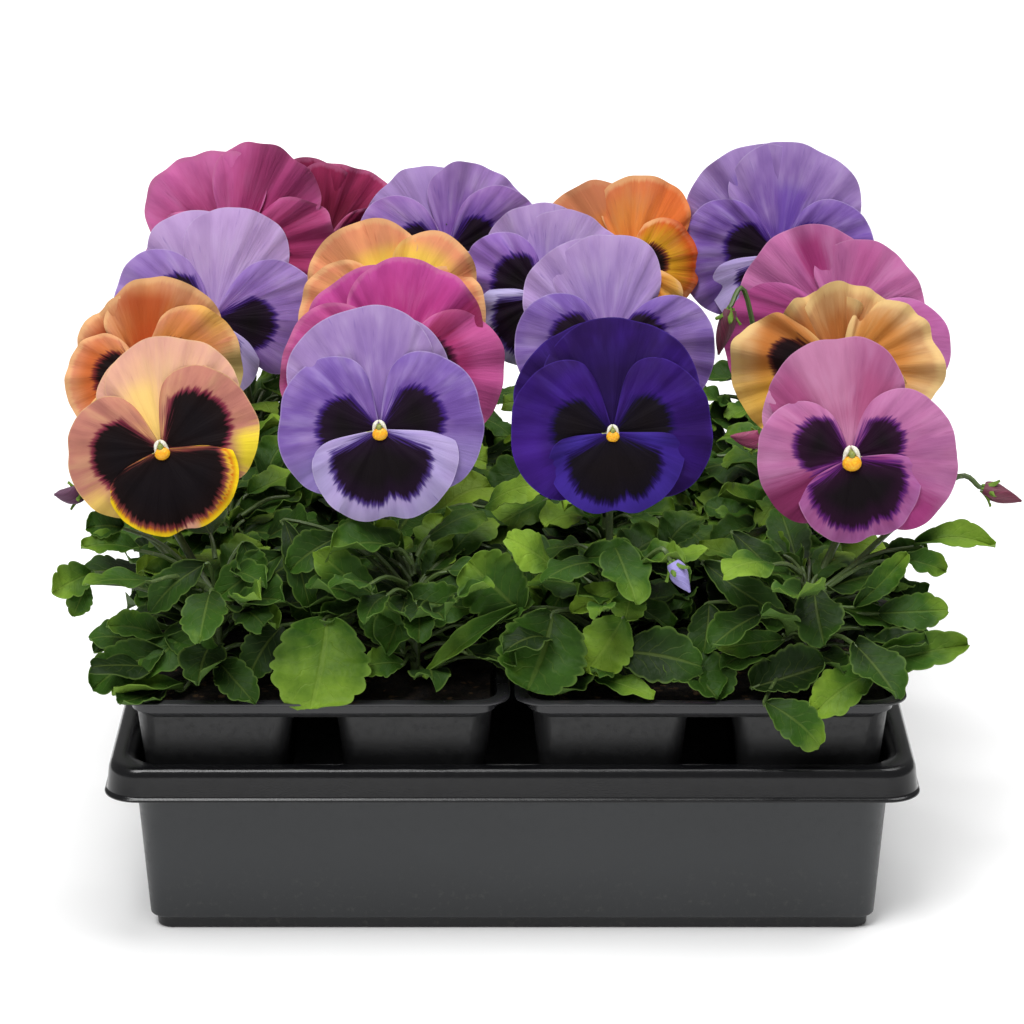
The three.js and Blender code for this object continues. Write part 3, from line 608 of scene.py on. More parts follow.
def rounded_square(half, radius, z, per_corner=10, middle=(0.0, 0.0)):
    """A ring of points round a square with round corners."""
    ring = []
    for quarter, (x, y) in enumerate(CORNERS):
        for step in range(per_corner):
            angle = (quarter + step / (per_corner - 1)) * math.pi / 2
            ring.append((middle[0] + x * (half - radius) + radius * math.cos(angle),
                         middle[1] + y * (half - radius) + radius * math.sin(angle), z))
    return ring


def smooth_path(knots, steps):
    """A smooth curve through the knots, as points at even steps of its course."""
    knots = np.asarray(knots, dtype=float)
    padded = np.vstack((2 * knots[0] - knots[1], knots, 2 * knots[-1] - knots[-2]))
    course = np.linspace(0, len(knots) - 1, steps)
    index = np.minimum(course.astype(int), len(knots) - 2)
    share = (course - index)[:, None]
    before, start, end, after = (padded[index + k] for k in range(4))
    turn = 2 * before - 5 * start + 4 * end - after
    twist = 3 * start - before - 3 * end + after
    return 0.5 * (2 * start + (end - before) * share + turn * share ** 2 + twist * share ** 3)


def tube(path, radii, sides=8):
    """A closed tube along a path, with a radius at each of its points."""
    tangents = np.gradient(path, axis=0)
    tangents /= np.linalg.norm(tangents, axis=1, keepdims=True)
    normal = np.cross(tangents[0], (0.3, 0.9, 0.2))
    rings = []
    angles = np.arange(sides) * 2 * math.pi / sides
    for point, tangent, radius in zip(path, tangents, np.broadcast_to(radii, len(path))):
        normal = normal - tangent * normal.dot(tangent)
        normal /= np.linalg.norm(normal)
        other = np.cross(tangent, normal)
        ring = np.cos(angles)[:, None] * normal + np.sin(angles)[:, None] * other
        rings.append(point + radius * ring)
    return skin(np.array(rings))


def joined(base, others, operation):
    """The base piece with the others added or cut away, which are then deleted."""
    for other in others:
        cut = base.modifiers.new("cut", "BOOLEAN")
        cut.operation = operation
        cut.object = other
        cut.solver = "EXACT"
    graph = bpy.context.evaluated_depsgraph_get()
    mesh = bpy.data.meshes.new_from_object(base.evaluated_get(graph))
    base.modifiers.clear()
    base.data = mesh
    for other in others:
        bpy.data.objects.remove(other)
    return base


def dress(piece, slot, *nodes):
    """The piece stands for these CAD nodes, which are hidden, and hangs from the root body.
    The slot is not used.
    """
    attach(piece, "root")
    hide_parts(*nodes)
    return piece


# ------------------------------------------------------------------ tray, packs and compost


def mix(start, end, share):
    return start + (end - start) * share


TRAY_FOOT = {"half": 123.3, "height": 3.1, "slope": 1.3, "above": 125.6, "floor": 2.0, "step": 1.0}
TRAY_NECK = {"half": 130.2, "drop": 2.6}
TRAY_RIM = {"outer": 136.6, "inner": 131.2, "sheet": 1.5, "round": 2.0, "flare": 0.6}
TRAY_LIP = {"sheet": 1.5, "bead": 0.8, "bead_height": 1.5, "lean": 1.6}
FOOT_CORNER = 0.45  # the corners at the foot, as a share of those at the lip
RIBS = {"height": 3.0, "width": 8.0, "length": 224.0, "groove": 5.0, "end_gap": 2.0, "draft": 0.6}
CELL_LINES = (-101.5, -33.5, 33.5, 101.5)  # centres of the cells in each row and column


def fillet(before, corner, after, radius, steps=4):
    """Points that round a corner of an outline, between the points before and after it."""
    start = corner + (before - corner) * min(radius / np.linalg.norm(before - corner), 0.45)
    end = corner + (after - corner) * min(radius / np.linalg.norm(after - corner), 0.45)
    shares = [k / (steps - 1) for k in range(steps)]
    return [(1 - s) ** 2 * start + 2 * s * (1 - s) * corner + s ** 2 * end for s in shares]


def rounded_profile(outline):
    """An outline's points, given as (half width, height, rounding), with all but its ends rounded.
    The first and the last of the rounded corners take each other for their outer neighbour."""
    first, *middle, last = [np.array(point[:2], dtype=float) for point in outline]
    profile = [first]
    for k, (corner, (*_, rounding)) in enumerate(zip(middle, outline[1:-1])):
        profile.extend(fillet(middle[k - 1], corner, middle[(k + 1) % len(middle)], rounding))
    return [*profile, last]


def tray_shell(sizes):
    """The pressed shell, from its foot up the outside, over the rim and lip, and down to its floor."""
    lip, top, wall = sizes.lip_half / MM, sizes.height / MM, sizes.wall / MM
    lip_foot, under = top - sizes.lip_depth / MM, top - TRAY_RIM["sheet"]
    foot_top = TRAY_FOOT["height"] + TRAY_FOOT["slope"]
    outline = [
        (TRAY_FOOT["half"], 0, 0), (TRAY_FOOT["half"], TRAY_FOOT["height"], 0.6),
        (TRAY_FOOT["above"], foot_top, 0.8), (TRAY_NECK["half"], under, 0.6),
        (TRAY_RIM["outer"] - TRAY_RIM["flare"], under, 1.2), (lip - TRAY_LIP["sheet"], lip_foot, 0.4),
        (lip, lip_foot, 0.4), (lip, lip_foot + TRAY_LIP["bead"], 0.3),
        (lip - TRAY_LIP["bead"], lip_foot + TRAY_LIP["bead_height"], 0.3),
        (lip - TRAY_LIP["lean"], top - TRAY_RIM["round"], 1.2),
        (TRAY_RIM["outer"], top, 1.0), (TRAY_RIM["inner"], top, 2.2),
        (TRAY_NECK["half"] - wall, top - TRAY_NECK["drop"], 1.2),
        (TRAY_FOOT["above"] - wall, foot_top, 1.0),
        (TRAY_FOOT["half"] - wall - TRAY_FOOT["step"], TRAY_FOOT["floor"], 0),
    ]
    corner = sizes.corner / MM
    rings = []
    for half, z in rounded_profile(outline):
        radius = np.interp(z, (0, lip_foot), (corner * FOOT_CORNER, corner))
        rings.append(rounded_square(half, radius, z, 12))
    body = Body()
    body.add(*skin(np.array(rings)))
    return body


def bar(width, depth, low, high, x):
    """The bar of a rib or a groove, from low to high, narrower at its top."""
    rings = []
    for inset, z in ((0.0, low), (RIBS["draft"], high)):
        rings.append([(x + sx * (width / 2 - inset), sy * (depth / 2 - inset), z) for sx, sy in CORNERS])
    body = Body()
    body.add(*skin(np.array(rings)))
    return body.piece("bar")


def build_tray(sizes):
    lip_foot = (sizes.height - sizes.lip_depth) / MM
    plastic = moulded_plastic("tray_plastic", sizes.plastic, sizes.rim, lip_foot, 0.36, 0.2)
    tray = tray_shell(sizes).piece("tray", plastic, sharp=35)
    floor, height, span = TRAY_FOOT["floor"], RIBS["height"], RIBS["length"]
    ribs = [bar(RIBS["width"], span, floor / 2, floor + height, x) for x in CELL_LINES]
    # A groove under each rib, so that the floor is as thin there as elsewhere.
    grooves = [bar(RIBS["groove"], span - 2 * RIBS["end_gap"], -height, height, x) for x in CELL_LINES]
    joined(tray, ribs, "UNION")
    joined(tray, grooves, "DIFFERENCE")
    return dress(tray, "tray_plastic", "nursery_tray")


PACK_PLACES = {"front_left": (-1, -1), "front_right": (1, -1), "back_left": (-1, 1), "back_right": (1, 1)}
PACK_GAP = 1.2  # between two packs
PACK_CENTRE = (PACK_BOX[1][0] - PACK_BOX[0][0] + PACK_GAP) / 2  # of each pack, from the tray's middle
CELL_OFFSET = PACK_CENTRE - CELL_LINES[2]  # of each cell, from its pack's middle
# The flange's thickness, and how far in from its edge the band and the deck's underside begin.
PACK_FLANGE = {"thick": 1.0, "band": 4.7, "deck": 6.2}
DECK_THICKNESS = 1.4
PACK_CORNER = 8
CELL_CORNERS = (5.0, 7.0)  # at a cell's foot and mouth
CELL_LEVELS = 7
CELL_FLOOR = 1.0
WELD = 0.5  # how far a cell is sunk into the deck
CUT = 1.0  # how far a cut runs past what it cuts


def deck_height(sizes):
    """The height of the deck that joins a pack's cells, at the foot of the band."""
    return PACK_BOX[1][2] - PACK_FLANGE["thick"] - sizes.band / MM


def pack_rim(sizes, finish):
    """A pack's flange, the upright band below it, and the deck."""
    top, deck, wall = PACK_BOX[1][2], deck_height(sizes), sizes.wall / MM
    under = top - PACK_FLANGE["thick"]
    flange = (PACK_BOX[1][0] - PACK_BOX[0][0]) / 2
    band = flange - PACK_FLANGE["band"]
    outline = [
        (flange - PACK_FLANGE["deck"], deck - DECK_THICKNESS, 0), (band, deck, 1.0), (band, under, 0.6),
        (flange - 0.3, under, 0.3), (flange, top, 0.9), (band - wall + 0.6, top, 1.0),
        (band - wall - 0.5, deck, 0),
    ]
    rings = []
    for half, z in rounded_profile(outline):
        radius = PACK_CORNER + np.clip(half - band, 0, 4) * 0.5
        rings.append(rounded_square(half, radius, z, 10))
    body = Body()
    body.add(*skin(np.array(rings)))
    return body.piece("pack", finish, sharp=40)


def cup(half_foot, half_top, low, high, middle):
    """The outside or the inside of one tapered cell with round corners."""
    rings = []
    for share in np.linspace(0, 1, CELL_LEVELS):
        half, radius = mix(half_foot, half_top, share), mix(*CELL_CORNERS, share)
        rings.append(rounded_square(half, radius, mix(low, high, share), 7, middle))
    body = Body()
    body.add(*skin(np.array(rings)))
    return body.piece("cup")


def drain(radius, low, high, middle):
    body = Body()
    body.add(*tube(np.array([(*middle, z) for z in np.linspace(low, high, 3)]), radius, 16))
    return body.piece("drain")


def build_packs(sizes):
    deck = deck_height(sizes)
    plastic = moulded_plastic("pack_plastic", sizes.plastic, sizes.band_shade, deck, 0.34, 0.3)
    foot, wall = PACK_BOX[0][2], sizes.wall / MM
    half_foot, half_top = sizes.cell_bottom / MM, sizes.cell_top / MM
    centres = [(x * CELL_OFFSET, y * CELL_OFFSET) for x in (-1, 1) for y in (-1, 1)]
    pack = pack_rim(sizes, plastic)
    floor = foot + CELL_FLOOR
    cups = [cup(half_foot, half_top, foot, deck - DECK_THICKNESS + WELD, c) for c in centres]
    hollows = [cup(half_foot - wall, half_top - wall, floor, deck + CUT, c) for c in centres]
    drains = [drain(sizes.drain / MM, foot - CUT, floor + CUT, c) for c in centres]
    joined(pack, cups, "UNION")
    joined(pack, hollows + drains, "DIFFERENCE")
    mesh = pack.data
    mesh.set_sharp_from_angle(angle=math.radians(40))
    bpy.data.objects.remove(pack)
    for place, (x, y) in PACK_PLACES.items():
        piece = bpy.data.objects.new("plug_pack_" + place, mesh)
        piece.location = (x * PACK_CENTRE * MM, y * PACK_CENTRE * MM, 0)
        bpy.context.scene.collection.objects.link(piece)
        dress(piece, "pack_plastic", "pack_" + place)


SOIL_LAYER = {"half": 60.8, "low": 81.2, "rings": 34, "corner": 8, "eye": 0.02}
SOIL_PLUG = {"foot": 17.2, "top": 25.3, "low": 6.6, "overlap": 0.4}
HIGHEST_CRUMB = 1.2


def compost_top(x, y, crumb, seed):
    """Height of the compost: low mounds, and crumbs of two sizes."""
    mound = noise.noise((x * 0.03, y * 0.03, seed))
    lumps = noise.noise((x * 0.16, y * 0.16, seed + 5))
    crumbs = abs(noise.noise((x * 0.55, y * 0.55, seed + 9)))
    return min(crumb * (0.5 * mound + 0.8 * lumps + 0.9 * crumbs), HIGHEST_CRUMB)


def compost_body(sizes, seed):
    """A layer with a crumbly top over the deck, and a plug down each cell."""
    half, low, corner = SOIL_LAYER["half"], SOIL_LAYER["low"], SOIL_LAYER["corner"]
    count, top = SOIL_LAYER["rings"], SOIL_BOX[1][2]
    rings = [rounded_square(half * share, corner * share, low, 24) for share in (SOIL_LAYER["eye"], 1)]
    for k in range(count, 0, -1):
        share = (k - 0.5) / count
        ring = rounded_square(half * share, corner * share, top, 24)
        rings.append([(x, y, z + compost_top(x, y, sizes.crumb / MM, seed)) for x, y, z in ring])
    body = Body()
    body.add(*skin(np.array(rings)))
    for x in (-CELL_OFFSET, CELL_OFFSET):
        for y in (-CELL_OFFSET, CELL_OFFSET):
            plug = [rounded_square(SOIL_PLUG["foot"], 5, SOIL_PLUG["low"], 6, (x, y)),
                    rounded_square(SOIL_PLUG["top"], 6, low + SOIL_PLUG["overlap"], 6, (x, y))]
            body.add(*skin(np.array(plug)))
    return body


COMPOST_SEEDS = 3.7  # how far apart the noises of two packs are


def build_compost(sizes):
    finish = compost_finish(sizes)
    for number, (place, (x, y)) in enumerate(PACK_PLACES.items()):
        body = compost_body(sizes, COMPOST_SEEDS * number)
        piece = body.piece("compost_" + place, finish, sharp=80)
        piece.location = (x * PACK_CENTRE * MM, y * PACK_CENTRE * MM, 0)
        dress(piece, "compost", "soil_" + place)


# ------------------------------------------------------------------ the blooms and buds

# The petals of an ordinary bloom: the way each points and how far it spreads to each side of that,
# in degrees, and its reach in millimetres. Back to front: two top petals, two side ones, the low one.
PETALS = ((124, 68, 42), (70, 68, 42), (178, 62, 36), (8, 62, 36), (271, 84, 31.5))
PETAL_KINDS = ("top", "top", "side", "side", "low")
LAYERS = (-3.8, -2.1, 0.1, -0.1, 3.0)  # how far forward of the eye each petal lies
BULGE = (-0.8, -0.8, 1.3, 1.3, 1.3)  # how far each petal swells forward between heart and rim
# For each petal, the side on which top and side petals meet, 1 for greater and -1 for smaller
# bearings, and how fast it narrows there and on its other side. A smaller number is a blunter end.
ENDS = ((1, 0.42, 0.2), (-1, 0.42, 0.2), (-1, 0.36, 0.15), (1, 0.36, 0.15), (1, 0.18, 0.18))
NOTCHES = {"top": 0.02, "side": 0.02, "low": 0.07}  # the notch in each rim's middle

# Each blotch: the petal it is on, the bearing of its middle and its spread to each side, in
# degrees, its reach in millimetres, and how deep the notch in its edge is.
BLOTCHES = ((2, 172, 42, 21, 0), (3, 14, 42, 21, 0), (4, 272, 66, 24.5, 3))

# Colours: of each kind of petal from its heart to its rim, of the veins and clouds, of the edge (a
# painted highlight on the rim and on the paler swathes), and of the blotch. Veins is how strong
# those are, and teeth how long a blotch's teeth are, where they aren't the ordinary ones. A hem is a
# paler rim: its colour, width and strength. A picotee is a rim on the lower petal: its inner and
# outer colour, and its width.
LAVENDER = {
    "top": ("8a6ab0", "997dbb", "ab8ec1"), "side": ("7858a0", "674992", "7458a0"),
    "low": ("9284bc", "a696c7", "a99bcb"), "vein": "5c3f94", "veins": 0.5,
    "fringe": "33146a", "core": "1c0d20", "cloud": "b79bc8", "edge": "cfc0e0",
}


def tinted(base, **changes):
    return {**base, **changes}


VIOLET = {
    "top": ("1a0932", "1f0b3a", "27104e"), "side": ("200c42", "2c115c", "281050"),
    "low": ("2c1a66", "34247c", "2a1860"), "vein": "140830", "veins": 0.55,
    "fringe": "1d0b4a", "core": "100a14", "cloud": "44209a", "edge": "5038a0",
}
MAUVE = {
    "top": ("bc7c9e", "984c74", "a05c84"), "side": ("9a4c7c", "a4608e", "ae6c98"),
    "low": ("7a2f62", "8a3f76", "a25e96"), "vein": "7c3462", "veins": 0.35,
    "fringe": "4c1262", "core": "260c24", "cloud": "983f68", "edge": "cf9cc0",
}
PEACH = {
    "top": ("e6c27c", "e0b086", "d59f8c"), "side": ("c48c5e", "a66a5c", "b27466"),
    "low": ("a0401c", "c86c20", "e0b020"), "vein": "b87466", "veins": 0.35,
    "fringe": "6e1836", "core": "150a0b", "cloud": "dcae72", "edge": "e0cc84",
    "picotee": ("c4501c", "ecc81c", 2.7), "teeth": 2.4,
}
ORANGE = {
    "top": ("a8401c", "c57641", "cf8e68"), "side": ("9a3a20", "c07844", "c98064"),
    "low": ("b0501f", "cc8030", "dca850"), "vein": "a0482c", "veins": 0.5,
    "fringe": "5c1420", "core": "180a0a", "cloud": "d09a48", "edge": "d8ac6c",
    "hem": ("e0b07c", 3.2, 0.65),
}
MAGENTA = {
    "top": ("8c205a", "a83476", "b4448c"), "side": ("6c1c38", "98305f", "ae4c86"),
    "low": ("701c3c", "8c2c58", "9c3c70"), "vein": "80205a", "veins": 0.4,
    "fringe": "4a0f30", "core": "1c0812", "cloud": "a0246c", "edge": "c8749c",
    "hem": ("c07098", 2.4, 0.45),
}
APRICOT = {
    "top": ("8c4020", "b07040", "c89a68"), "side": ("a05a2c", "bc8448", "cba070"),
    "low": ("a46430", "bc8c48", "caa060"), "vein": "985430", "veins": 0.45,
    "fringe": "42141c", "core": "1c0c10", "cloud": "c49a54", "edge": "dcc090",
    "hem": ("dcbc80", 4.5, 0.7),
}
ROSE = tinted(MAGENTA, top=("8c2c50", "bc5288", "cc6aa4"), side=("80243f", "aa3e6a", "c05a92"),
              low=("741c3c", "903060", "a04478"), cloud="b04c8c", edge="d090b8", vein="842450")
BURGUNDY = tinted(MAGENTA, top=("4c1020", "701a36", "942c54"), side=("440e1e", "661634", "84264a"),
                  low=("380b18", "500f28", "601a34"), cloud="601430", edge="98486c", vein="400c20")
PINK = tinted(MAUVE, top=("983c74", "b06094", "b86a9c"), side=("903a70", "a4568a", "b468a0"),
              low=("883868", "9c4c84", "ac609c"), cloud="a5427d", edge="d0a0c4")

# Patches of another colour on single blooms (on b2, one is painted shade in a fold): the petal,
# the bearing of the patch from the petal's middle and its spread to each side, in degrees, how far
# from the eye it begins and ends, its colour and its strength.
PATCHES = {
    "a1_peach": ((3, -34, 20, 26, 40, "ecd434", 0.95), (2, 40, 22, 25, 40, "dab85c", 0.85),
                 (0, -12, 26, 3, 28, "f2d070", 0.75), (1, 32, 22, 4, 24, "f2d070", 0.6),
                 (4, 4, 10, 25.5, 40, "e4a0a0", 0.8)),
    "a2_lavender": ((0, -20, 34, 3, 16, "cdb6de", 0.55), (2, 50, 30, 18, 40, "9c8cc8", 0.5),
                    (3, -40, 30, 18, 40, "9c8cc8", 0.5)),
    "a3_violet": ((4, 0, 90, 22, 40, "46309e", 0.75), (2, 20, 30, 24, 40, "45208a", 0.5),
                  (0, 0, 90, 4, 30, "221046", 0.7), (1, 0, 90, 4, 30, "221046", 0.7)),
    "a4_mauve": ((2, 42, 34, 13, 40, "701c48", 0.9), (3, -46, 26, 12, 36, "983070", 0.85),
                 (1, 10, 26, 18, 46, "c890b0", 0.4), (1, 44, 22, 8, 36, "903a68", 0.6),
                 (0, -10, 40, 4, 20, "d8a4b8", 0.6), (1, -26, 22, 12, 30, "a04c74", 0.6),
                 (0, 20, 30, 26, 44, "c890b4", 0.5)),
    "b1_orange": ((0, 16, 40, 4, 26, "983a16", 0.9), (1, 26, 34, 6, 31, "a8421a", 0.85),
                  (1, -16, 30, 6, 28, "cc7c28", 0.6), (2, 0, 60, 4, 23, "b85420", 0.8),
                  (3, 24, 40, 6, 28, "c87830", 0.5), (3, -14, 24, 30, 46, "958650", 0.9),
                  (3, 30, 26, 30, 46, "e2aa40", 0.6)),
    # Painted shade: b2's first patch darkens the fold at the right of its top petals.
    "b2_magenta": ((1, -36, 24, 8, 48, "701534", 0.85), (3, 40, 14, 12, 48, "781838", 0.6),
                   (3, 0, 60, 28, 48, "b45088", 0.7)),
    "d2_lavender": ((0, 0, 90, 14, 44, "b096cc", 0.5),),
    "b4_apricot": ((0, 0, 70, 6, 22, "b4682c", 0.7), (1, 0, 60, 6, 20, "b4682c", 0.6),
                   (2, -14, 60, 8, 33, "b0662a", 0.85), (3, 10, 50, 8, 24, "b8702c", 0.7),
                   (2, 30, 40, 20, 44, "d8a838", 0.7)),
    "c2_orange": ((0, -22, 34, 2, 26, "f2c850", 0.9), (1, 22, 40, 2, 28, "f2c850", 0.9)),
    "c4_pink": ((0, -30, 14, 6, 34, "a02c6c", 0.75), (1, 30, 18, 4, 32, "b04c88", 0.5),
                (2, 0, 80, 8, 46, "94306a", 0.8)),
    "d1_rose": ((1, 0, 40, 14, 46, "a02c62", 0.6), (3, 0, 60, 10, 40, "8c2450", 0.6)),
    "d3_orange": ((3, 0, 90, 24.5, 46, "b43c12", 0.9), (1, -20, 30, 8, 40, "d4601e", 0.6),
                  (0, 0, 60, 24, 40, "c07858", 0.7)),
    "d4_purple": ((0, -10, 16, 8, 34, "5638a0", 0.75), (1, 10, 20, 8, 28, "6a48ac", 0.5)),
}

# Each bloom: the plant that carries it, its colour's name, the place of its eye, how far it turns to
# the side, tips up and rolls, in degrees, its ruffle, how far its edge comes forward, and its paint.
# Where they differ from an ordinary bloom's, it has its petals and blotches in full, with the
# bearings before the roll, its size, the size of its crown (the top petals) and of its heart (the
# eye), and how much blunter its petals end where top and side ones meet (round).
BLOOMS = (
    {"plant": "a1", "name": "peach", "eye": (-119, -100, 166), "turn": -3, "tip": 18, "roll": 16,
     "ruffle": 0.8, "cup": -2, "round": 0.6, "paint": PEACH,
     "petals": ((84, 60, 36.5), (66, 62, 39.4), (171, 64, 33.4), (18, 64, 34), (271, 80, 30)),
     "blotches": ((2, 173, 42, 24.6, 0), (3, 21, 46, 25.4, 0), (4, 269, 80, 27.3, 1.5))},
    {"plant": "a2", "name": "lavender", "eye": (-45, -100, 173), "turn": 0, "tip": 18, "roll": 7,
     "ruffle": 0.8, "cup": -2, "round": 0.6,
     "paint": tinted(LAVENDER, top=("7a5c9e", "876aa8", "967bae")),
     "petals": ((84, 60, 40), (99, 62, 43.4), (164, 70, 35.4), (7, 70, 35.8), (268, 84, 32)),
     "blotches": ((2, 170, 44, 21.5, 0), (3, 12, 44, 22.5, 0), (4, 266, 66, 26, 3.5))},
    {"plant": "a3", "name": "violet", "eye": (34, -100, 172), "turn": 2, "tip": 16, "roll": 1,
     "ruffle": 0.6, "cup": -3, "paint": VIOLET, "round": 0.5, "heart": 0.85,
     "petals": ((116, 76, 38.8), (76, 76, 39.6), (174, 70, 35), (6, 70, 35), (271, 88, 28.6))},
    {"plant": "a4", "name": "mauve", "eye": (115, -100, 163), "turn": 4, "tip": 18, "roll": 2,
     "ruffle": 1.0, "cup": -2, "paint": MAUVE, "heart": 1.25,
     "petals": ((122, 62, 36.5), (90, 64, 42), (174, 72, 32), (3, 70, 38), (283, 80, 29.4)),
     "blotches": ((2, 154, 42, 20, 0), (3, 25, 35, 20, 0), (4, 281, 70, 24.6, 2))},
    {"plant": "b1", "name": "orange", "eye": (-131, -35, 173), "turn": -10, "tip": 22, "roll": 22,
     "ruffle": 1.8, "cup": 3, "paint": ORANGE,
     "petals": ((108, 62, 31.5), (44, 72, 37), (162, 66, 29), (-4, 68, 37), (262, 80, 29)),
     "blotches": ((2, 160, 44, 17.5, 0), (3, 0, 44, 20, 0), (4, 262, 66, 20, 2))},
    {"plant": "b2", "name": "magenta", "eye": (-41, -35, 175), "turn": 2, "tip": 20, "roll": -4,
     "ruffle": 2.0, "cup": -4, "paint": MAGENTA,
     "petals": ((124, 68, 41), (70, 68, 42), (178, 64, 42), (8, 64, 39), (271, 84, 33))},
    {"plant": "b3", "name": "lavender", "eye": (34, -35, 184), "turn": 0, "tip": 18, "roll": -2,
     "ruffle": 1.2, "cup": -3, "paint": LAVENDER,
     "petals": ((122, 62, 40.5), (88, 50, 41.5), (176, 64, 33.5), (4, 54, 38.5), (271, 84, 31))},
    {"plant": "b4", "name": "apricot", "eye": (117, -40, 177), "turn": 4, "tip": 30, "roll": -10,
     "ruffle": 4.0, "cup": 10, "paint": APRICOT,
     "petals": ((130, 66, 30), (80, 62, 32), (194, 58, 41.5), (28, 68, 34.5), (281, 82, 28)),
     "blotches": ((2, 184, 24, 28, 0), (3, -24, 22, 13, 0), (4, 271, 66, 20, 2))},
    {"plant": "c1", "name": "lilac", "eye": (-111, 33, 176), "turn": 0, "tip": 18, "roll": -12,
     "ruffle": 1.2, "cup": -3,
     "petals": ((122, 48, 42), (80, 50, 43.5), (170, 54, 38.5), (20, 56, 40), (268, 72, 31)),
     "blotches": ((2, 164, 34, 24, 0), (3, 4, 36, 23.5, 0), (4, 262, 66, 20, 2)),
     "paint": tinted(LAVENDER, top=("a78ac0", "af91c2", "b596c7"), side=("8058a2", "8160a6", "8c6eae"))},
    {"plant": "c2", "name": "orange", "eye": (-43, 24, 179), "turn": 0, "tip": 22, "roll": -6,
     "ruffle": 1.8, "cup": 2,
     "petals": ((133, 60, 40), (50, 52, 36.5), (178, 62, 36), (10, 62, 34), (271, 84, 31)),
     "paint": tinted(ORANGE, top=("ecbd77", "e8a06c", "e0906a"), side=("ecbd60", "e2a064", "d18260"))},
    {"plant": "c3", "name": "lavender", "eye": (12, 42, 182), "turn": 0, "tip": 18, "roll": -22,
     "ruffle": 1.6, "cup": -3, "size": 0.92, "crown": 0.92,
     "paint": tinted(LAVENDER, side=("7d55a1", "7d55a1", "8c68b0"), low=("a89ccc", "b0a7d2", "b0a7d2"))},
    {"plant": "c4", "name": "pink", "eye": (119, 6, 181), "turn": 0, "tip": 16, "roll": -14,
     "ruffle": 1.6, "cup": -2, "paint": PINK,
     "petals": ((154, 80, 39.5), (50, 84, 34), (208, 60, 42.5), (-14, 60, 43.5), (271, 84, 34)),
     "blotches": ((2, 222, 30, 16, 0), (3, -34, 30, 16, 0), (4, 271, 66, 20, 2))},
    {"plant": "d1", "name": "rose", "eye": (-107, 88, 186), "turn": -4, "tip": 16, "roll": -4,
     "ruffle": 5, "cup": 2, "paint": ROSE,
     "petals": ((130, 68, 43), (62, 52, 45.5), (178, 50, 34), (10, 60, 41), (271, 84, 33))},
    {"plant": "d1", "name": "burgundy", "eye": (-74, 112, 182), "turn": 6, "tip": 16, "roll": -12,
     "ruffle": 3.0, "cup": 0, "paint": BURGUNDY, "size": 0.94, "crown": 0.92},
    {"plant": "d2", "name": "lavender", "eye": (-25, 102, 184), "turn": 0, "tip": 14, "roll": 4,
     "ruffle": 2.6, "cup": -2,
     "petals": ((132, 66, 36.5), (44, 66, 37), (170, 62, 37.5), (12, 62, 38), (271, 84, 31)),
     "paint": tinted(LAVENDER, top=("7a50a0", "8660a8", "9977b4"), side=("5a3982", "6c4a96", "8962a3"))},
    {"plant": "d3", "name": "orange", "eye": (46, 98, 178), "turn": 10, "tip": 16, "roll": -10,
     "ruffle": 1.8, "cup": -2,
     "petals": ((138, 48, 39), (76, 52, 38), (186, 62, 28), (26, 66, 28), (282, 84, 26)),
     "blotches": ((2, 182, 42, 14, 0), (3, 26, 44, 14.5, 0), (4, 280, 66, 15, 2)),
     "paint": tinted(ORANGE, top=("d8742c", "e0803c", "cf7048"), side=("d8a018", "c89018", "b8501c"))},
    {"plant": "d4", "name": "purple", "eye": (103, 104, 182), "turn": 0, "tip": 16, "roll": -3,
     "ruffle": 1.4, "cup": -2, "size": 1.07,
     "paint": tinted(LAVENDER, top=("5e3e8e", "7c5aa4", "987ab6"), side=("4a2e62", "5c3e84", "7858a2"))},
)
CUP_RADIUS = 36  # how far from the eye a bloom's cup and ruffle are measured

# Each bud: the plant that carries it, its foot and tip, where its stalk bends over, its slot in
# the record, and the colours of its folds.
BUDS = (
    {"plant": "b4", "foot": (78, -14, 192), "tip": (74, -17, 176), "bend": (84, -8, 196),
     "slot": "bud_burgundy", "dark": "3c0f20", "light": "7c2a48"},
    {"plant": "b4", "foot": (88, -64, 158), "tip": (76, -68, 161), "bend": (95, -58, 152),
     "slot": "bud_pink", "dark": "701c40", "light": "a84872"},
    {"plant": "a4", "foot": (162, -90, 149), "tip": (175, -92, 145), "bend": (152, -88, 152),
     "slot": "bud_burgundy", "dark": "441020", "light": "7c2a48"},
    {"plant": "a1", "foot": (-148, -88, 146), "tip": (-157, -94, 148), "bend": (-140, -84, 142),
     "slot": "bud_purple", "dark": "3c1830", "light": "744468"},
    {"plant": "a3", "foot": (54, -120, 132), "tip": (60, -124, 123), "bend": (50, -117, 136),
     "slot": "bud_lavender", "dark": "7c70b4", "light": "aaa2dc"},
)
BUD_RADIUS = 3.1


def bloom_frame(bloom):
    """The turned frame of a bloom, as rows: to its right, up its face, and out of its face."""
    turn, tip, roll = (math.radians(bloom[key]) for key in ("turn", "tip", "roll"))
    out = np.array((math.sin(turn) * math.cos(tip), -math.cos(turn) * math.cos(tip), math.sin(tip)))
    right = np.array((math.cos(turn), math.sin(turn), 0.0))
    up = np.cross(out, right)
    return np.array((right * math.cos(roll) + up * math.sin(roll),
                     up * math.cos(roll) - right * math.sin(roll), out))


def set_in_bloom(points, bloom):
    return np.asarray(points) @ bloom_frame(bloom) + np.array(bloom["eye"])


RADIAL_STEPS = 22
RIM_STEPS = 96
PETAL_HEART = 0.03  # where a petal begins, as a share of the way to its rim
PETAL_ENDS = 0.985  # where it ends, just short of its spread, where its rim would reach the eye
FULL_TURN = 6.3  # a wave starts anywhere in it
OUTSIDE_BLOTCH = -40.0


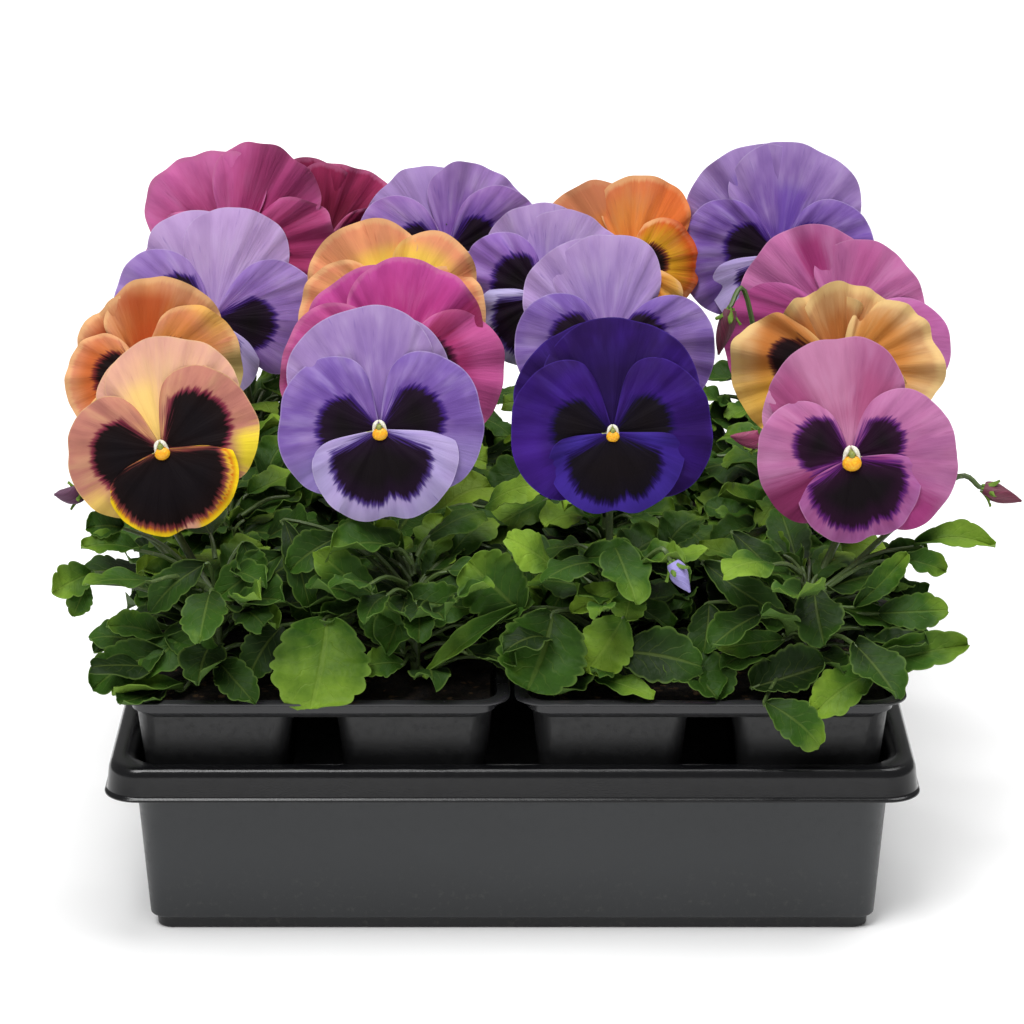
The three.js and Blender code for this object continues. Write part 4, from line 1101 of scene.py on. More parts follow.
def waves(draw, offset, counts, low, high, fall=0.0):
    """Waves across a petal, one for each count in a full turn, of drawn heights and starts. With a
    fall, the closer ones are lower."""
    return sum(draw.uniform(low, high) / count ** fall
               * np.sin(np.radians(offset) * count + draw.uniform(0, FULL_TURN)) for count in counts)


class Petal:
    """One petal's middle surface, as a grid of points from the heart to the rim (rows) and from
    its lowest bearing to its highest (columns), before its bloom is turned."""

    def __init__(self, bloom, index, crinkle, draw):
        self.bloom = bloom
        self.index = index
        self.kind = PETAL_KINDS[index]
        axis, self.spread, reach = bloom.get("petals", PETALS)[index]
        self.share = np.linspace(PETAL_HEART, 1, RADIAL_STEPS)[:, None]
        self.sweep = np.linspace(-1, 1, RIM_STEPS)[None, :]
        self.offset = self.spread * np.sin(self.sweep * math.pi / 2 * PETAL_ENDS)
        self.rim = reach * self.outline(draw)
        self.radius = self.rim * self.share
        self.angle = np.radians(axis + self.offset) + 0 * self.share
        self.height = self.form() + self.folds(crinkle, draw)

    def outline(self, draw):
        """How far the rim lies from the eye at each bearing, as a share of the petal's reach."""
        meeting_side, meeting_end, free_end = ENDS[self.index]
        meeting_end *= self.bloom.get("round", 1.0)
        end = np.where(self.offset * meeting_side > 0, meeting_end, free_end)
        full = np.cos(np.radians(90 * self.offset / self.spread)) ** end
        notch = 1 - NOTCHES[self.kind] * np.exp(-((self.offset / 9) ** 2))
        lobes = waves(draw, self.offset, (4, 7, 12, 21), 0.3, 1, 0.75)
        lobed = 1 + 0.022 * (0.5 + self.bloom["ruffle"]) * lobes
        crown = self.bloom.get("crown", 1.0) if self.kind == "top" else 1.0
        return self.bloom.get("size", 1.0) * crown * full * notch * lobed

    def form(self):
        """The broad form: the petal's layer, the cup of the bloom's face, and a rim turned back."""
        share, sweep = self.share, self.sweep
        wave = self.bloom["ruffle"] * np.sin(2 * self.angle + 7 * self.bloom["eye"][0])
        face = (self.bloom["cup"] + wave) * (self.radius / CUP_RADIUS) ** 1.5
        swell = BULGE[self.index] * 4 * share * (1 - share) * np.cos(sweep * math.pi / 2) ** 0.5
        turned_back = 2.2 * share ** 5 + 0.5 * np.abs(sweep) ** 6 * share
        return LAYERS[self.index] * np.minimum(1, 0.45 + share) + face + swell - turned_back

    def folds(self, crinkle, draw):
        """Creases and fine pleats that run out from the heart, and the ruffle of the rim."""
        ruffled, offset, share = self.bloom["ruffle"], self.offset, self.share
        creases = 0.8 * (0.75 + 0.22 * ruffled) * crinkle * waves(draw, offset, (9, 14, 23), 0.3, 1)
        pleats = crinkle * waves(draw, offset, (31, 43, 58), 0.1, 0.35)
        pleats = pleats * (0.5 + 0.5 * np.sin(np.radians(offset) * 3.1 + draw.uniform(0, FULL_TURN)))
        ruffle = (0.6 + ruffled) * waves(draw, offset, (5, 8, 13), 0.2, 0.6)
        return creases * share ** 1.2 + pleats * share ** 2 + ruffle * share ** 3

    def surface(self):
        return np.stack((self.radius * np.cos(self.angle), self.radius * np.sin(self.angle),
                         self.height), axis=2)

    def blotch_depth(self):
        """How deep each point is inside the petal's blotch. It is below zero outside."""
        depth = np.full(self.radius.shape, OUTSIDE_BLOTCH)
        for petal, centre, half, far, cut in self.bloom.get("blotches", BLOTCHES):
            if petal == self.index:
                aside = (np.degrees(self.angle) - centre + 180) % 360 - 180
                edge = far * np.cos(np.radians(np.clip(np.abs(aside) / half, 0, 1) * 70)) ** 0.35
                edge = edge - cut * np.exp(-((aside - 8) / 6.5) ** 2)
                to_side = (half - np.abs(aside)) * np.radians(1) * self.radius
                depth = np.minimum(edge - self.radius, to_side + 0.2)
        return depth

    def rim_gap(self):
        """How far each point is from the rim. The hidden sides of a top petal don't count."""
        to_rim = self.rim - self.radius
        to_side = (self.spread - np.abs(self.offset)) * np.radians(1) * self.radius
        return to_rim if self.kind == "top" else np.minimum(to_rim, to_side)

    def readings(self):
        """The readings that the finish uses, at the points of the front and then of the back."""
        shape = self.radius.shape
        polar = columns_of(shape, np.radians(self.offset), self.radius, self.index + PETAL_MARK)
        mark = columns_of(shape, self.blotch_depth(), self.rim_gap(), self.share)
        sort = [columns_of(shape, self.kind == "side", self.kind == "low", back) for back in (0, 1)]
        both = {"polar": (polar, polar), "mark": (mark, mark), "sort": sort}
        return {name: np.vstack(values) for name, values in both.items()}


def ellipsoid(centre, radii, rows=10, columns=14):
    """A closed rounded knob, with blunt ends."""
    angle = np.arange(columns) * 2 * math.pi / columns
    rings = []
    for level in np.linspace(0.06, 0.94, rows) * math.pi:
        reach = math.sin(level) ** 0.85
        rings.append(np.column_stack((radii[0] * reach * np.cos(angle), radii[1] * reach * np.sin(angle),
                                      np.full(columns, -radii[2] * math.cos(level)))) + centre)
    return skin(np.array(rings))


PETAL, LIP, BROW, KNOB = range(4)  # the finishes of a bloom, in its material slots
BROW_RADII = (0.3, 0.45, 0.6, 0.7, 0.75, 0.7, 0.6, 0.4, 0.3)
HEART_FOOT = ((0.6, -4.2), (2.6, -3.7), (3.2, -2.0), (2.2, 0.5), (0.8, 2.4))  # radius and height


def heart_parts():
    """The eye: an orange lip, a green knob, and two pale brows of hairs, on a green foot that the
    petals grow from. Each part has its finish."""
    yield ellipsoid((0.0, -1.5, 2.6), (2.7, 2.2, 1.7)), LIP
    yield ellipsoid((0.0, 0.6, 3.0), (1.0, 1.2, 1.3)), KNOB
    for side in (-1, 1):
        knots = [(side * 0.2, 3.2, 2.0), (side * 1.3, 1.9, 2.9), (side * 2.3, -0.6, 2.4)]
        yield tube(smooth_path(knots, len(BROW_RADII)), np.array(BROW_RADII)), BROW
    angle = np.arange(16) * math.pi / 8
    round_heart = np.column_stack((np.cos(angle), np.sin(angle), 0 * angle))
    yield skin(np.array([radius * round_heart + (0, 0, z) for radius, z in HEART_FOOT])), KNOB


BLOOM_SEED = 500


def build_blooms(sizes):
    organs = (eye_finish("eye_orange", sizes.lip, linear("f6c326")),
              eye_finish("eye_brow", sizes.brow, linear("f6f4ea")),
              eye_finish("eye_stigma", sizes.stigma, linear("6d7a34")))
    # A petal is thinner towards its rim.
    thickness = sizes.petal / MM * (1 - 0.6 * np.linspace(0, 1, RADIAL_STEPS)[:, None])
    for number, bloom in enumerate(BLOOMS):
        draw = np.random.default_rng(BLOOM_SEED + number)
        key = bloom["plant"] + "_" + bloom["name"]
        body = Body("polar", "mark", "sort")
        for index in range(len(PETALS)):
            petal = Petal(bloom, index, sizes.crinkle / MM, draw)
            points, faces = blade(petal.surface(), thickness)
            body.add(set_in_bloom(points, bloom), faces, PETAL, **petal.readings())
        for (points, faces), organ in heart_parts():
            body.add(set_in_bloom(points * bloom.get("heart", 1.0), bloom), faces, organ)
        paint = tinted(bloom["paint"], patches=PATCHES.get(key, ()))
        piece = body.piece("pansy_" + key, petal_finish(key, paint, sizes.tooth / MM), *organs)
        dress(piece, "petals_" + bloom["name"], "bloom_" + key)


BUD_RINGS = 16
BUD_COLUMNS = 24


def bud_frame(bud):
    """A bud's foot, its length, and its frame as rows: two across it and one along it."""
    foot, tip = np.array(bud["foot"], dtype=float), np.array(bud["tip"], dtype=float)
    along = unit(tip - foot)
    side = unit(np.cross(along, (0.2, 0.3, 0.9)))
    return foot, np.linalg.norm(tip - foot), np.array((side, np.cross(along, side), along))


def bud_body(bud):
    """The furled petals: a pointed body whose folds wind round it."""
    foot, size, frame_rows = bud_frame(bud)
    angle = np.arange(BUD_COLUMNS) * 2 * math.pi / BUD_COLUMNS
    rings, furl = [], []
    for share in np.linspace(0, 1, BUD_RINGS):
        reach = BUD_RADIUS * max(0.12, math.sin(math.pi * min(0.97, 0.12 + 0.88 * share) ** 0.75) ** 0.8)
        folds = 0.13 * np.sin(3 * angle + 4.5 * share) + 0.05 * np.sin(7 * angle + 9 * share)
        radius = reach * (1 + folds)
        ring = np.column_stack((radius * np.cos(angle), radius * np.sin(angle), size * share + 0 * angle))
        rings.append(ring @ frame_rows + foot)
        furl.append(np.column_stack((np.sin(angle + 3 * share), share + 0 * angle, 0 * angle)))
    body = Body("furl")
    body.add(*skin(np.array(rings)), furl=np.vstack(furl))
    return body


def build_buds():
    for number, bud in enumerate(BUDS):
        name = f"bud_{number + 1}"
        piece = bud_body(bud).piece("furled_" + name, bud_finish(name, bud["dark"], bud["light"]))
        dress(piece, bud["slot"], name)


# ------------------------------------------------------------------ the plants

# The leaves that show at the front: the plant, the blade's foot and tip, its width, how far its
# middle arches up, how far its edges stand up, how far it faces up from straight ahead, in
# degrees, its tone from dark to pale (partly painted shade and light), and its form (a key of LEAF_FORMS).
SHOWN_LEAVES = (
    ("a1", (-144, -104, 123), (-157, -112, 119), 12, 1, 2, 30, 0.62, "lobed"),
    ("a1", (-145, -106, 120), (-150, -112, 110), 9, 1, 1, 20, 0.5, "narrow"),
    ("a1", (-120, -112, 102), (-138, -118, 109), 11, 3, 1, 50, 0.5, "oval"),
    ("a1", (-127, -104, 131), (-147, -108, 134), 10, 1, 1, 60, 0.55, "oval"),
    ("a1", (-133, -98, 137), (-146, -100, 138), 11, 2, 2, 40, 0.3, "oval"),
    ("a1", (-118, -118, 99), (-143, -126, 89), 16, 3, 2, 40, 0.5, "oval"),
    ("a1", (-112, -122, 87), (-135, -134, 91), 10, 1, 2, 80, 0.85, "narrow"),
    ("a1", (-118, -114, 102), (-99, -124, 96), 12, 2, 1, 40, 0.5, "oval"),
    ("a1", (-100, -122, 97), (-87, -137, 88), 13, 3, 1, 40, 0.38, "oval"),
    ("a1", (-78, -104, 130), (-101, -112, 117), 14, 3, 1, 40, 0.3, "oval"),
    ("a1", (-104, -108, 128), (-124, -113, 112), 13, 3, 2, 45, 0.22, "oval"),
    ("a1", (-92, -104, 134), (-86, -112, 122), 10, 2, 1, 45, 0.3, "oval"),
    ("a2", (-78, -118, 109), (-89, -128, 95), 14, 2, 1, 30, 0.2, "round"),
    ("a2", (-63, -118, 112), (-68, -137, 86), 33, 1, 2, 25, 0.8, "round"),
    ("a2", (-46, -114, 118), (-66, -116, 135), 14, 1, 1, 20, 0.45, "oval"),
    ("a2", (-78, -100, 141), (-69, -114, 113), 10, 3, 1, 30, 0.15, "oval"),
    ("a2", (-37, -120, 100), (-51, -118, 116), 13, 1, 1, 20, 0.5, "oval"),
    ("a2", (-37, -124, 97), (-50, -128, 98), 11, 1, 1, 50, 0.65, "oval"),
    ("a2", (-39, -108, 116), (-15, -116, 115), 15, 2, 1, 30, 0.35, "oval"),
    ("a2", (-58, -106, 137), (-76, -112, 127), 13, 3, 1, 40, 0.2, "oval"),
    ("a3", (3, -116, 113), (-15, -112, 130), 23, 1, 2, 20, 0.45, "round"),
    ("a3", (3, -116, 114), (-30, -130, 95), 8, 4, 2, 60, 0.62, "narrow"),
    ("a3", (14, -116, 113), (5, -132, 91), 30, 1, 2, 22, 0.5, "round"),
    ("a3", (38, -116, 112), (25, -126, 95), 19, 2, 1, 30, 0.85, "oval"),
    ("a3", (34, -120, 100), (64, -130, 99), 19, 2, 1, 35, 0.25, "oval"),
    ("a3", (26, -122, 92), (48, -134, 90), 9, 1, 1, 70, 0.8, "narrow"),
    ("a3", (38, -108, 120), (20, -116, 113), 10, 2, 1, 50, 0.75, "oval"),
    ("a3", (41, -110, 120), (38, -118, 110), 12, 1, 1, 35, 0.55, "oval"),
    ("a3", (24, -104, 128), (46, -112, 126), 13, 3, 1, 45, 0.35, "oval"),
    ("a4", (67, -112, 115), (65, -122, 100), 13, 1, 1, 30, 0.3, "oval"),
    ("a4", (70, -120, 99), (70, -131, 87), 13, 1, 1, 35, 0.45, "oval"),
    ("a4", (93, -116, 103), (70, -124, 103), 10, 2, 1, 40, 0.55, "oval"),
    ("a4", (81, -128, 90), (106, -128, 99), 17, -2, 4, 50, 0.12, "round"),
    ("a4", (85, -136, 88), (104, -143, 75), 14, 3, 1, 35, 0.66, "oval"),
    ("a4", (123, -124, 94), (101, -138, 84), 15, 3, 1, 45, 0.85, "oval"),
    ("a4", (118, -118, 93), (155, -122, 104), 13, 3, 2, 35, 0.6, "oval"),
    ("a4", (125, -106, 109), (149, -110, 112), 13, 2, 1, 35, 0.5, "oval"),
    ("a4", (134, -98, 126), (149, -102, 123), 9, 2, 1, 45, 0.5, "lobed"),
    ("a4", (138, -94, 129), (166, -98, 131), 10, 4, 2, 50, 0.65, "narrow"),
    ("a4", (117, -108, 112), (135, -106, 131), 9, 1, 1, 30, 0.4, "oval"),
    ("a4", (75, -98, 136), (95, -110, 119), 11, 2, 1, 40, 0.2, "oval"),
    ("a4", (65, -104, 127), (92, -116, 112), 12, 2, 1, 40, 0.22, "oval"),
)

# Forms of leaf: where along it the blade is widest, how blunt its ends are, how many teeth it has
# on each side, and how deep they are beside an ordinary leaf's.
LEAF_FORMS = {
    "round": {"widest": 1.2, "bluntness": 0.4, "teeth": 7, "depth": 1.0},
    "oval": {"widest": 1.2, "bluntness": 0.55, "teeth": 6, "depth": 1.0},
    "narrow": {"widest": 1.15, "bluntness": 0.72, "teeth": 5, "depth": 1.0},
    "lobed": {"widest": 1.15, "bluntness": 0.6, "teeth": 3, "depth": 1.6},
    "sepal": {"widest": 0.8, "bluntness": 0.8, "teeth": 0, "depth": 0.0},
}
LEAF_FINISH, STEM_FINISH = 0, 1  # the finishes of a plant, in its material slots
LEAF_ROWS = 42
LEAF_COLUMNS = 9
STEM_FOOT = 66.5
STEM_TOP = 116
LIT_HEIGHT = 124  # above it leaves are in the light
LIT_DEPTH = 34  # and this far below it in the dark


def leaf_outline(leaf, share, across, scallop, draw):
    """Half the blade's width at each point, and each point's share of the way to the tip, both
    moved by the teeth of the edge."""
    form = LEAF_FORMS[leaf["form"]]
    half = leaf["width"] / 2 * np.sin(math.pi * share ** form["widest"]) ** form["bluntness"]
    if not form["teeth"]:
        return half, share
    teeth = form["teeth"] + draw.uniform(-0.6, 0.8)
    bump = np.abs(np.sin(math.pi * teeth * share ** 0.85 + draw.uniform(0, 0.5) + (across > 0))) ** 0.6
    depth = scallop * form["depth"]
    return half * (1 + depth * 0.35 - depth * (1 - bump)), share + 0.02 * across ** 2 * bump


def leaf_lift(leaf, size, share, across, draw):
    """How far the blade rises at each point: its arch, droop, cup, waved edges, twist and keel."""
    width = leaf["width"]
    wave = width * 0.085 * np.sin(share * draw.uniform(9, 16) + draw.uniform(0, 6) + (across > 0) * 2.2)
    twist = draw.uniform(-0.55, 0.55) * (share - 0.3) * width / 2
    keel = width * (draw.uniform(-0.04, 0.2) * np.abs(across) - 0.012 * np.cos(across * 14) * share)
    arch = leaf["arch"] * 4 * share * (1 - share) - leaf.get("droop", 0.06 * size) * share ** 3
    return arch + (leaf["cup"] + wave) * across ** 2 + twist * across + keel


def add_leaf(body, leaf, sizes, draw):
    """A thin blade with a scalloped edge, arched along its midrib and waved at its edges."""
    foot, tip = np.array(leaf["foot"], dtype=float), np.array(leaf["tip"], dtype=float)
    size = np.linalg.norm(tip - foot)
    along = unit(tip - foot)
    facing = np.array(leaf["facing"], dtype=float)
    up = unit(facing - along * facing.dot(along))
    side = np.cross(up, along)
    share = np.linspace(0.012, 0.99, LEAF_ROWS)[:, None]
    across = np.linspace(-1, 1, LEAF_COLUMNS)[None, :]
    half, share = leaf_outline(leaf, share, across, sizes.scallop, draw)
    lift = leaf_lift(leaf, size, share, across, draw)
    bend = draw.uniform(-0.05, 0.05) * size * np.sin(share * math.pi)
    middle = (foot + share[..., None] * size * along + (half * across + bend)[..., None] * side
              + lift[..., None] * up)
    points, faces = blade(middle, sizes.leaf / MM * (1 - 0.55 * np.abs(across)))

    # Painted shade and light: a leaf is darker low in the plant and at its foot. A sepal has one tone.
    dark = np.clip((LIT_HEIGHT - middle[..., 2]) / LIT_DEPTH, 0, 1) * 0.25 - 0.5 * (share - 0.5)
    tone = leaf["tone"] - dark * (leaf["form"] != "sepal")
    reading = columns_of(lift.shape, share, across, tone)
    under = [columns_of(lift.shape, back, 0.0, 0.0) for back in (0, 1)]
    body.add(points, faces, LEAF_FINISH, leaf=np.vstack((reading, reading)), under=np.vstack(under))
    draw.random()  # one number to spare for each leaf: without it, the next ones grow otherwise


def add_stalk(body, knots, radii, steps=14, sides=6):
    path = smooth_path(knots, steps)
    points, faces = tube(path, np.interp(np.linspace(0, 1, steps), (0, 1), radii), sides)
    body.add(points, faces, STEM_FINISH)


def add_leaf_on_stalk(body, leaf, root, sizes, draw):
    """The leaf, and the thin stalk that joins it to the stem."""
    foot = np.array(leaf["foot"], dtype=float)
    root = np.array(root, dtype=float)
    middle = mix(root, foot, 0.55) + np.array((0, 0, 0.12 * np.linalg.norm(foot - root)))
    inside = foot + 0.12 * (np.array(leaf["tip"]) - foot)
    width = 0.55 + 0.012 * leaf["width"]
    add_stalk(body, [root, middle, foot, inside], (width + 0.3, width * 0.7), 10)
    add_leaf(body, leaf, sizes, draw)


def plant_cell(plant):
    """The row and the column of a plant, counted from 0."""
    return "abcd".index(plant[0]), int(plant[1]) - 1


def plant_centre(plant):
    row, column = plant_cell(plant)
    return CELL_LINES[column], CELL_LINES[row]


def shown_leaves(plant):
    """The leaves placed one by one for this plant."""
    for owner, foot, tip, width, arch, cup_height, faces_up, tone, form in SHOWN_LEAVES:
        if owner == plant:
            up = math.radians(faces_up)
            yield {"foot": foot, "tip": tip, "width": width, "arch": arch, "cup": cup_height,
                   "facing": (0, -math.cos(up), math.sin(up)), "tone": tone, "form": form}


INNER_REACH = 36  # how far a leaf may go towards a neighbouring plant
OUTER_REACH = 48  # and towards the outside of the tray


def reach_on(bearing, half_width, outward):
    """How far a leaf may reach from its plant on this bearing, inside its own plot."""
    limits = []
    for axis, part in enumerate((math.cos(bearing), math.sin(bearing))):
        limit = OUTER_REACH if outward[axis] * part > 0 else INNER_REACH
        sideways = half_width * math.sqrt(1 - part * part)
        limits.append((limit - sideways) / max(abs(part), 0.05))
    return min(limits)


GOLDEN_ANGLE = 2.39996
GOLDEN_SHARE = 0.618
# The leaves of a rosette, from its lowest leaf to its highest: their length, how steeply their
# stalks rise in degrees, the length of those, and where they leave the stem.
ROSETTE = {"size": (31, 23), "rise": (10, 55), "petiole": (13, 8), "root": (93, STEM_TOP - 3)}
FRONT_LEAVES, OTHER_LEAVES = 11, 19  # leaves of a rosette in the front row, and in the others
FRONT_TOP, OTHER_TOP = 128, 144  # how high their tips may be
LOWEST_TIP = 91


def rosette(plant, draw):
    """Leaves set round the stem by the golden angle, low and long, then short and steep. In the
    front row they fill only the back half, behind the leaves that show."""
    row, column = plant_cell(plant)
    outward = ((column == 3) - (column == 0), (row == 3) - (row == 0))
    centre = plant_centre(plant)
    in_front = row == 0
    count = FRONT_LEAVES if in_front else OTHER_LEAVES
    first = draw.uniform(0, 2 * math.pi)
    for k in range(count):
        level = k / (count - 1)
        bearing = first + k * GOLDEN_ANGLE + draw.uniform(-0.25, 0.25)
        if in_front:
            bearing = math.pi * (0.04 + 0.92 * ((k * GOLDEN_SHARE + draw.uniform(0, 0.1)) % 1))
        size = mix(*ROSETTE["size"], level) * draw.uniform(0.85, 1.12)
        width = size * draw.uniform(0.55, 0.85)
        rise = math.radians(mix(*ROSETTE["rise"], level))
        pitch = rise - math.radians(draw.uniform(26, 46))
        petiole = mix(*ROSETTE["petiole"], level)
        wanted = petiole * math.cos(rise) + size * math.cos(pitch)
        fit = min(1, reach_on(bearing, width / 2, outward) / wanted)
        out = np.array((math.cos(bearing), math.sin(bearing), 0))
        root = np.array((*centre, mix(*ROSETTE["root"], level)))
        foot = root + out * fit * petiole * math.cos(rise) + (0, 0, fit * petiole * math.sin(rise))
        tip = foot + out * fit * size * math.cos(pitch) + (0, 0, fit * size * math.sin(pitch))
        tip[2] = min(max(tip[2], LOWEST_TIP), FRONT_TOP if in_front else OTHER_TOP)
        arch, cup_height = draw.uniform(1, 5), draw.uniform(-2, 3.5)
        # A leaf higher in the rosette is paler: painted light and shade, over a tone that differs at random.
        yield root, {"foot": foot, "tip": tip, "width": width * math.sqrt(fit), "arch": arch,
                     "cup": cup_height, "facing": out * 0.35 + (0, -0.2, 1),
                     "tone": 0.05 + 0.3 * level + 0.6 * draw.uniform(0, 1) ** 2,
                     "form": ("oval", "round", "round")[k % 3]}


INNER_HEIGHTS = (92, 136)  # of the small leaves' feet, near the stem


def inner_leaves(plant, sizes, draw):
    """Small young leaves and leafy stipules that fill the plant between its larger leaves."""
    centre = np.array((*plant_centre(plant), 0.0))
    for k in range(sizes.extra_leaves):
        bearing = k * GOLDEN_ANGLE + draw.uniform(-0.4, 0.4)
        out = np.array((math.cos(bearing), math.sin(bearing), 0))
        away = draw.uniform(3, 28)
        foot = centre + out * away + (0, 0, draw.uniform(*INNER_HEIGHTS) - 0.35 * away)
        size = draw.uniform(15, 29)
        slope = draw.uniform(-0.6, 0.7)
        tip = foot + out * size * math.cos(slope) + (0, 0, size * math.sin(slope))
        tip[2] = max(tip[2], LOWEST_TIP - 2)
        width = size * draw.uniform(0.4, 0.75)
        arch, cup_height = draw.uniform(0, 3), draw.uniform(-1.5, 3)
        # A leaf whose foot is higher is paler: painted light and shade, over a tone that differs at random.
        tone = 0.5 * draw.uniform(0, 1) ** 1.5 + (foot[2] - INNER_HEIGHTS[0]) / 140
        yield foot - out * away * 0.8 - (0, 0, 6), {
            "foot": foot, "tip": tip, "width": width, "arch": arch, "cup": cup_height,
            "facing": out * 0.5 + (0, -0.35, 1), "tone": tone,
            "form": ("oval", "lobed", "round")[k % 3]}


BLOOM_SEPALS = {"reach": 11, "back": -5.6, "lift": 1.1, "tone": 0.55}
BUD_SEPALS = {"reach": 5.4, "back": -1.0, "lift": 5.2, "tone": 0.7}


def add_sepals(body, origin, frame_rows, sepals, sizes, draw):
    """Five pointed sepals round the back of a bloom or a bud."""
    for k in range(5):
        angle = 2 * math.pi * (k + 0.25) / 5
        outward = np.array((math.cos(angle), math.sin(angle), 0))
        foot = outward * 1.2 + (0, 0, sepals["back"])
        tip = outward * sepals["reach"] + (0, 0, sepals["back"] + sepals["lift"])
        facing = np.array((0, 0, 1)) - 0.2 * outward
        leaf = {"foot": foot @ frame_rows + origin, "tip": tip @ frame_rows + origin,
                "facing": facing @ frame_rows, "width": sepals["reach"] * 0.42, "arch": 0.6,
                "cup": 0.5, "tone": sepals["tone"], "form": "sepal", "droop": 0}
        add_leaf(body, leaf, sizes, draw)


def add_bloom_stalk(body, bloom, centre, sizes, draw):
    """A bloom's stalk, which nods over behind its face, and its sepals."""
    frame_rows, eye = bloom_frame(bloom), np.array(bloom["eye"], dtype=float)

    def behind(distance, drop):
        return eye - frame_rows[2] * distance - (0, 0, drop)

    root = np.array((*centre, STEM_TOP - 4))
    knee = behind(15, 24)
    bend = np.array((*mix(root, knee, 0.55)[:2], mix(root[2], knee[2], 0.5)))
    stalk = sizes.stalk / MM
    add_stalk(body, [root, bend, knee, behind(13, 8), behind(6.4, 0), behind(3.6, -0.4)],
              (stalk * 1.1, stalk * 0.85), 30, 10)
    add_sepals(body, eye, frame_rows, BLOOM_SEPALS, sizes, draw)


def add_bud_stalk(body, bud, centre, sizes, draw):
    foot, _, frame_rows = bud_frame(bud)
    along = frame_rows[2]
    bend = np.array(bud["bend"], dtype=float)
    root = np.array((*centre, STEM_TOP - 8))
    middle = np.array((*mix(root, bend, 0.5)[:2], mix(STEM_TOP, bend[2], 0.45)))
    stalk = sizes.stalk / MM
    add_stalk(body, [root, middle, bend, foot - along * 1.5, foot + along * 0.5],
              (stalk * 0.9, stalk * 0.6), 24)
    add_sepals(body, foot, frame_rows, BUD_SEPALS, sizes, draw)


PLANT_SEED = 41


def plant_body(plant, sizes):
    """One plant: its stem, the stalks of its blooms and buds, and its leaves."""
    row, column = plant_cell(plant)
    centre = plant_centre(plant)
    draw = np.random.default_rng(PLANT_SEED + 10 * row + column)
    body = Body("leaf", "under")
    stem = sizes.stem / MM
    knots = [(*centre, height) for height in (STEM_FOOT, 84, 100, STEM_TOP)]
    add_stalk(body, knots, (stem, stem * 0.8), 16, 10)
    for bloom in BLOOMS:
        if bloom["plant"] == plant:
            add_bloom_stalk(body, bloom, centre, sizes, draw)
    for bud in BUDS:
        if bud["plant"] == plant:
            add_bud_stalk(body, bud, centre, sizes, draw)
    for leaf in shown_leaves(plant):
        away = math.hypot(leaf["foot"][0] - centre[0], leaf["foot"][1] - centre[1])
        height = min(max(leaf["foot"][2] - 0.45 * away, 90), STEM_TOP - 3)
        add_leaf_on_stalk(body, leaf, (*centre, height), sizes, draw)
    for root, leaf in rosette(plant, draw):
        add_leaf_on_stalk(body, leaf, root, sizes, draw)
    for root, leaf in inner_leaves(plant, sizes, draw):
        add_leaf_on_stalk(body, leaf, root, sizes, draw)
    return body


def build_plants(sizes):
    finishes = (leaf_finish(sizes), stem_finish(sizes))
    for row in "abcd":
        for column in "1234":
            plant = row + column
            piece = plant_body(plant, sizes).piece("pansy_plant_" + plant, *finishes)
            dress(piece, "foliage", "plant_" + plant)


# ------------------------------------------------------------------ the stage

CAMERA = {"place": (-0.0001, -1.4102, 0.5694), "tilt": 72, "lens": 141.7, "sensor": 36}
FLOOR = {"half": 4000, "height": -0.5, "points": 9}


def soft_light(name, bearing, height, strength, softness):
    """A broad even light, from a bearing and a height in degrees. Bearing 0 is the front."""
    lamp = bpy.data.lights.new(name, "SUN")
    lamp.energy = strength
    lamp.angle = math.radians(softness)
    light = bpy.data.objects.new(name, lamp)
    light.rotation_euler = (math.radians(90 - height), 0, math.radians(bearing))
    bpy.context.scene.collection.objects.link(light)


def lay_floor(shade):
    edge = np.linspace(-FLOOR["half"], FLOOR["half"], FLOOR["points"])
    body = Body()
    body.add([(x, y, FLOOR["height"]) for y in edge for x in edge], grid_faces(len(edge), len(edge)))
    finish = Finish("pale_floor")
    clouds = finish.noise(finish.place(), 0.004, 2.0)
    shade = finish.coat(shade, clouds, "e8e8ea", 0.05)
    body.piece("floor", finish.shader(Base_Color=shade, Roughness=0.9, Specular_IOR_Level=0.1))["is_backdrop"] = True


def build_stage(settings):
    lay_floor(settings.floor)
    soft_light("front", -34, 60, settings.front, 30)
    soft_light("overhead", 120, 76, settings.top, 45)
    scene = bpy.context.scene
    sky = bpy.data.worlds.new("studio")
    sky.use_nodes = True
    background = sky.node_tree.nodes["Background"]
    background.inputs["Strength"].default_value = settings.sky
    background.inputs["Color"].default_value = (1, 1, 1, 1)
    scene.world = sky
    scene.view_settings.view_transform = "Standard"

    camera = bpy.data.objects.new("camera", bpy.data.cameras.new("camera"))
    camera.location = CAMERA["place"]
    camera.rotation_euler = (math.radians(CAMERA["tilt"]), 0, 0)
    camera.data.lens = CAMERA["lens"]
    camera.data.sensor_width = CAMERA["sensor"]
    scene.collection.objects.link(camera)
    scene.camera = camera


# ------------------------------------------------------------------ operators and panel


class PANSIES_OT_tray(bpy.types.Operator):
    """Build the nursery tray"""

    bl_idname = "pansies.tray"
    bl_label = "Nursery Tray"

    def execute(self, context):
        build_tray(context.scene.pansy_tray)
        return {"FINISHED"}


class PANSIES_OT_packs(bpy.types.Operator):
    """Build the four plug packs"""

    bl_idname = "pansies.packs"
    bl_label = "Plug Packs"

    def execute(self, context):
        build_packs(context.scene.pansy_packs)
        return {"FINISHED"}


class PANSIES_OT_compost(bpy.types.Operator):
    """Fill the packs with compost"""

    bl_idname = "pansies.compost"
    bl_label = "Compost"

    def execute(self, context):
        build_compost(context.scene.pansy_compost)
        return {"FINISHED"}


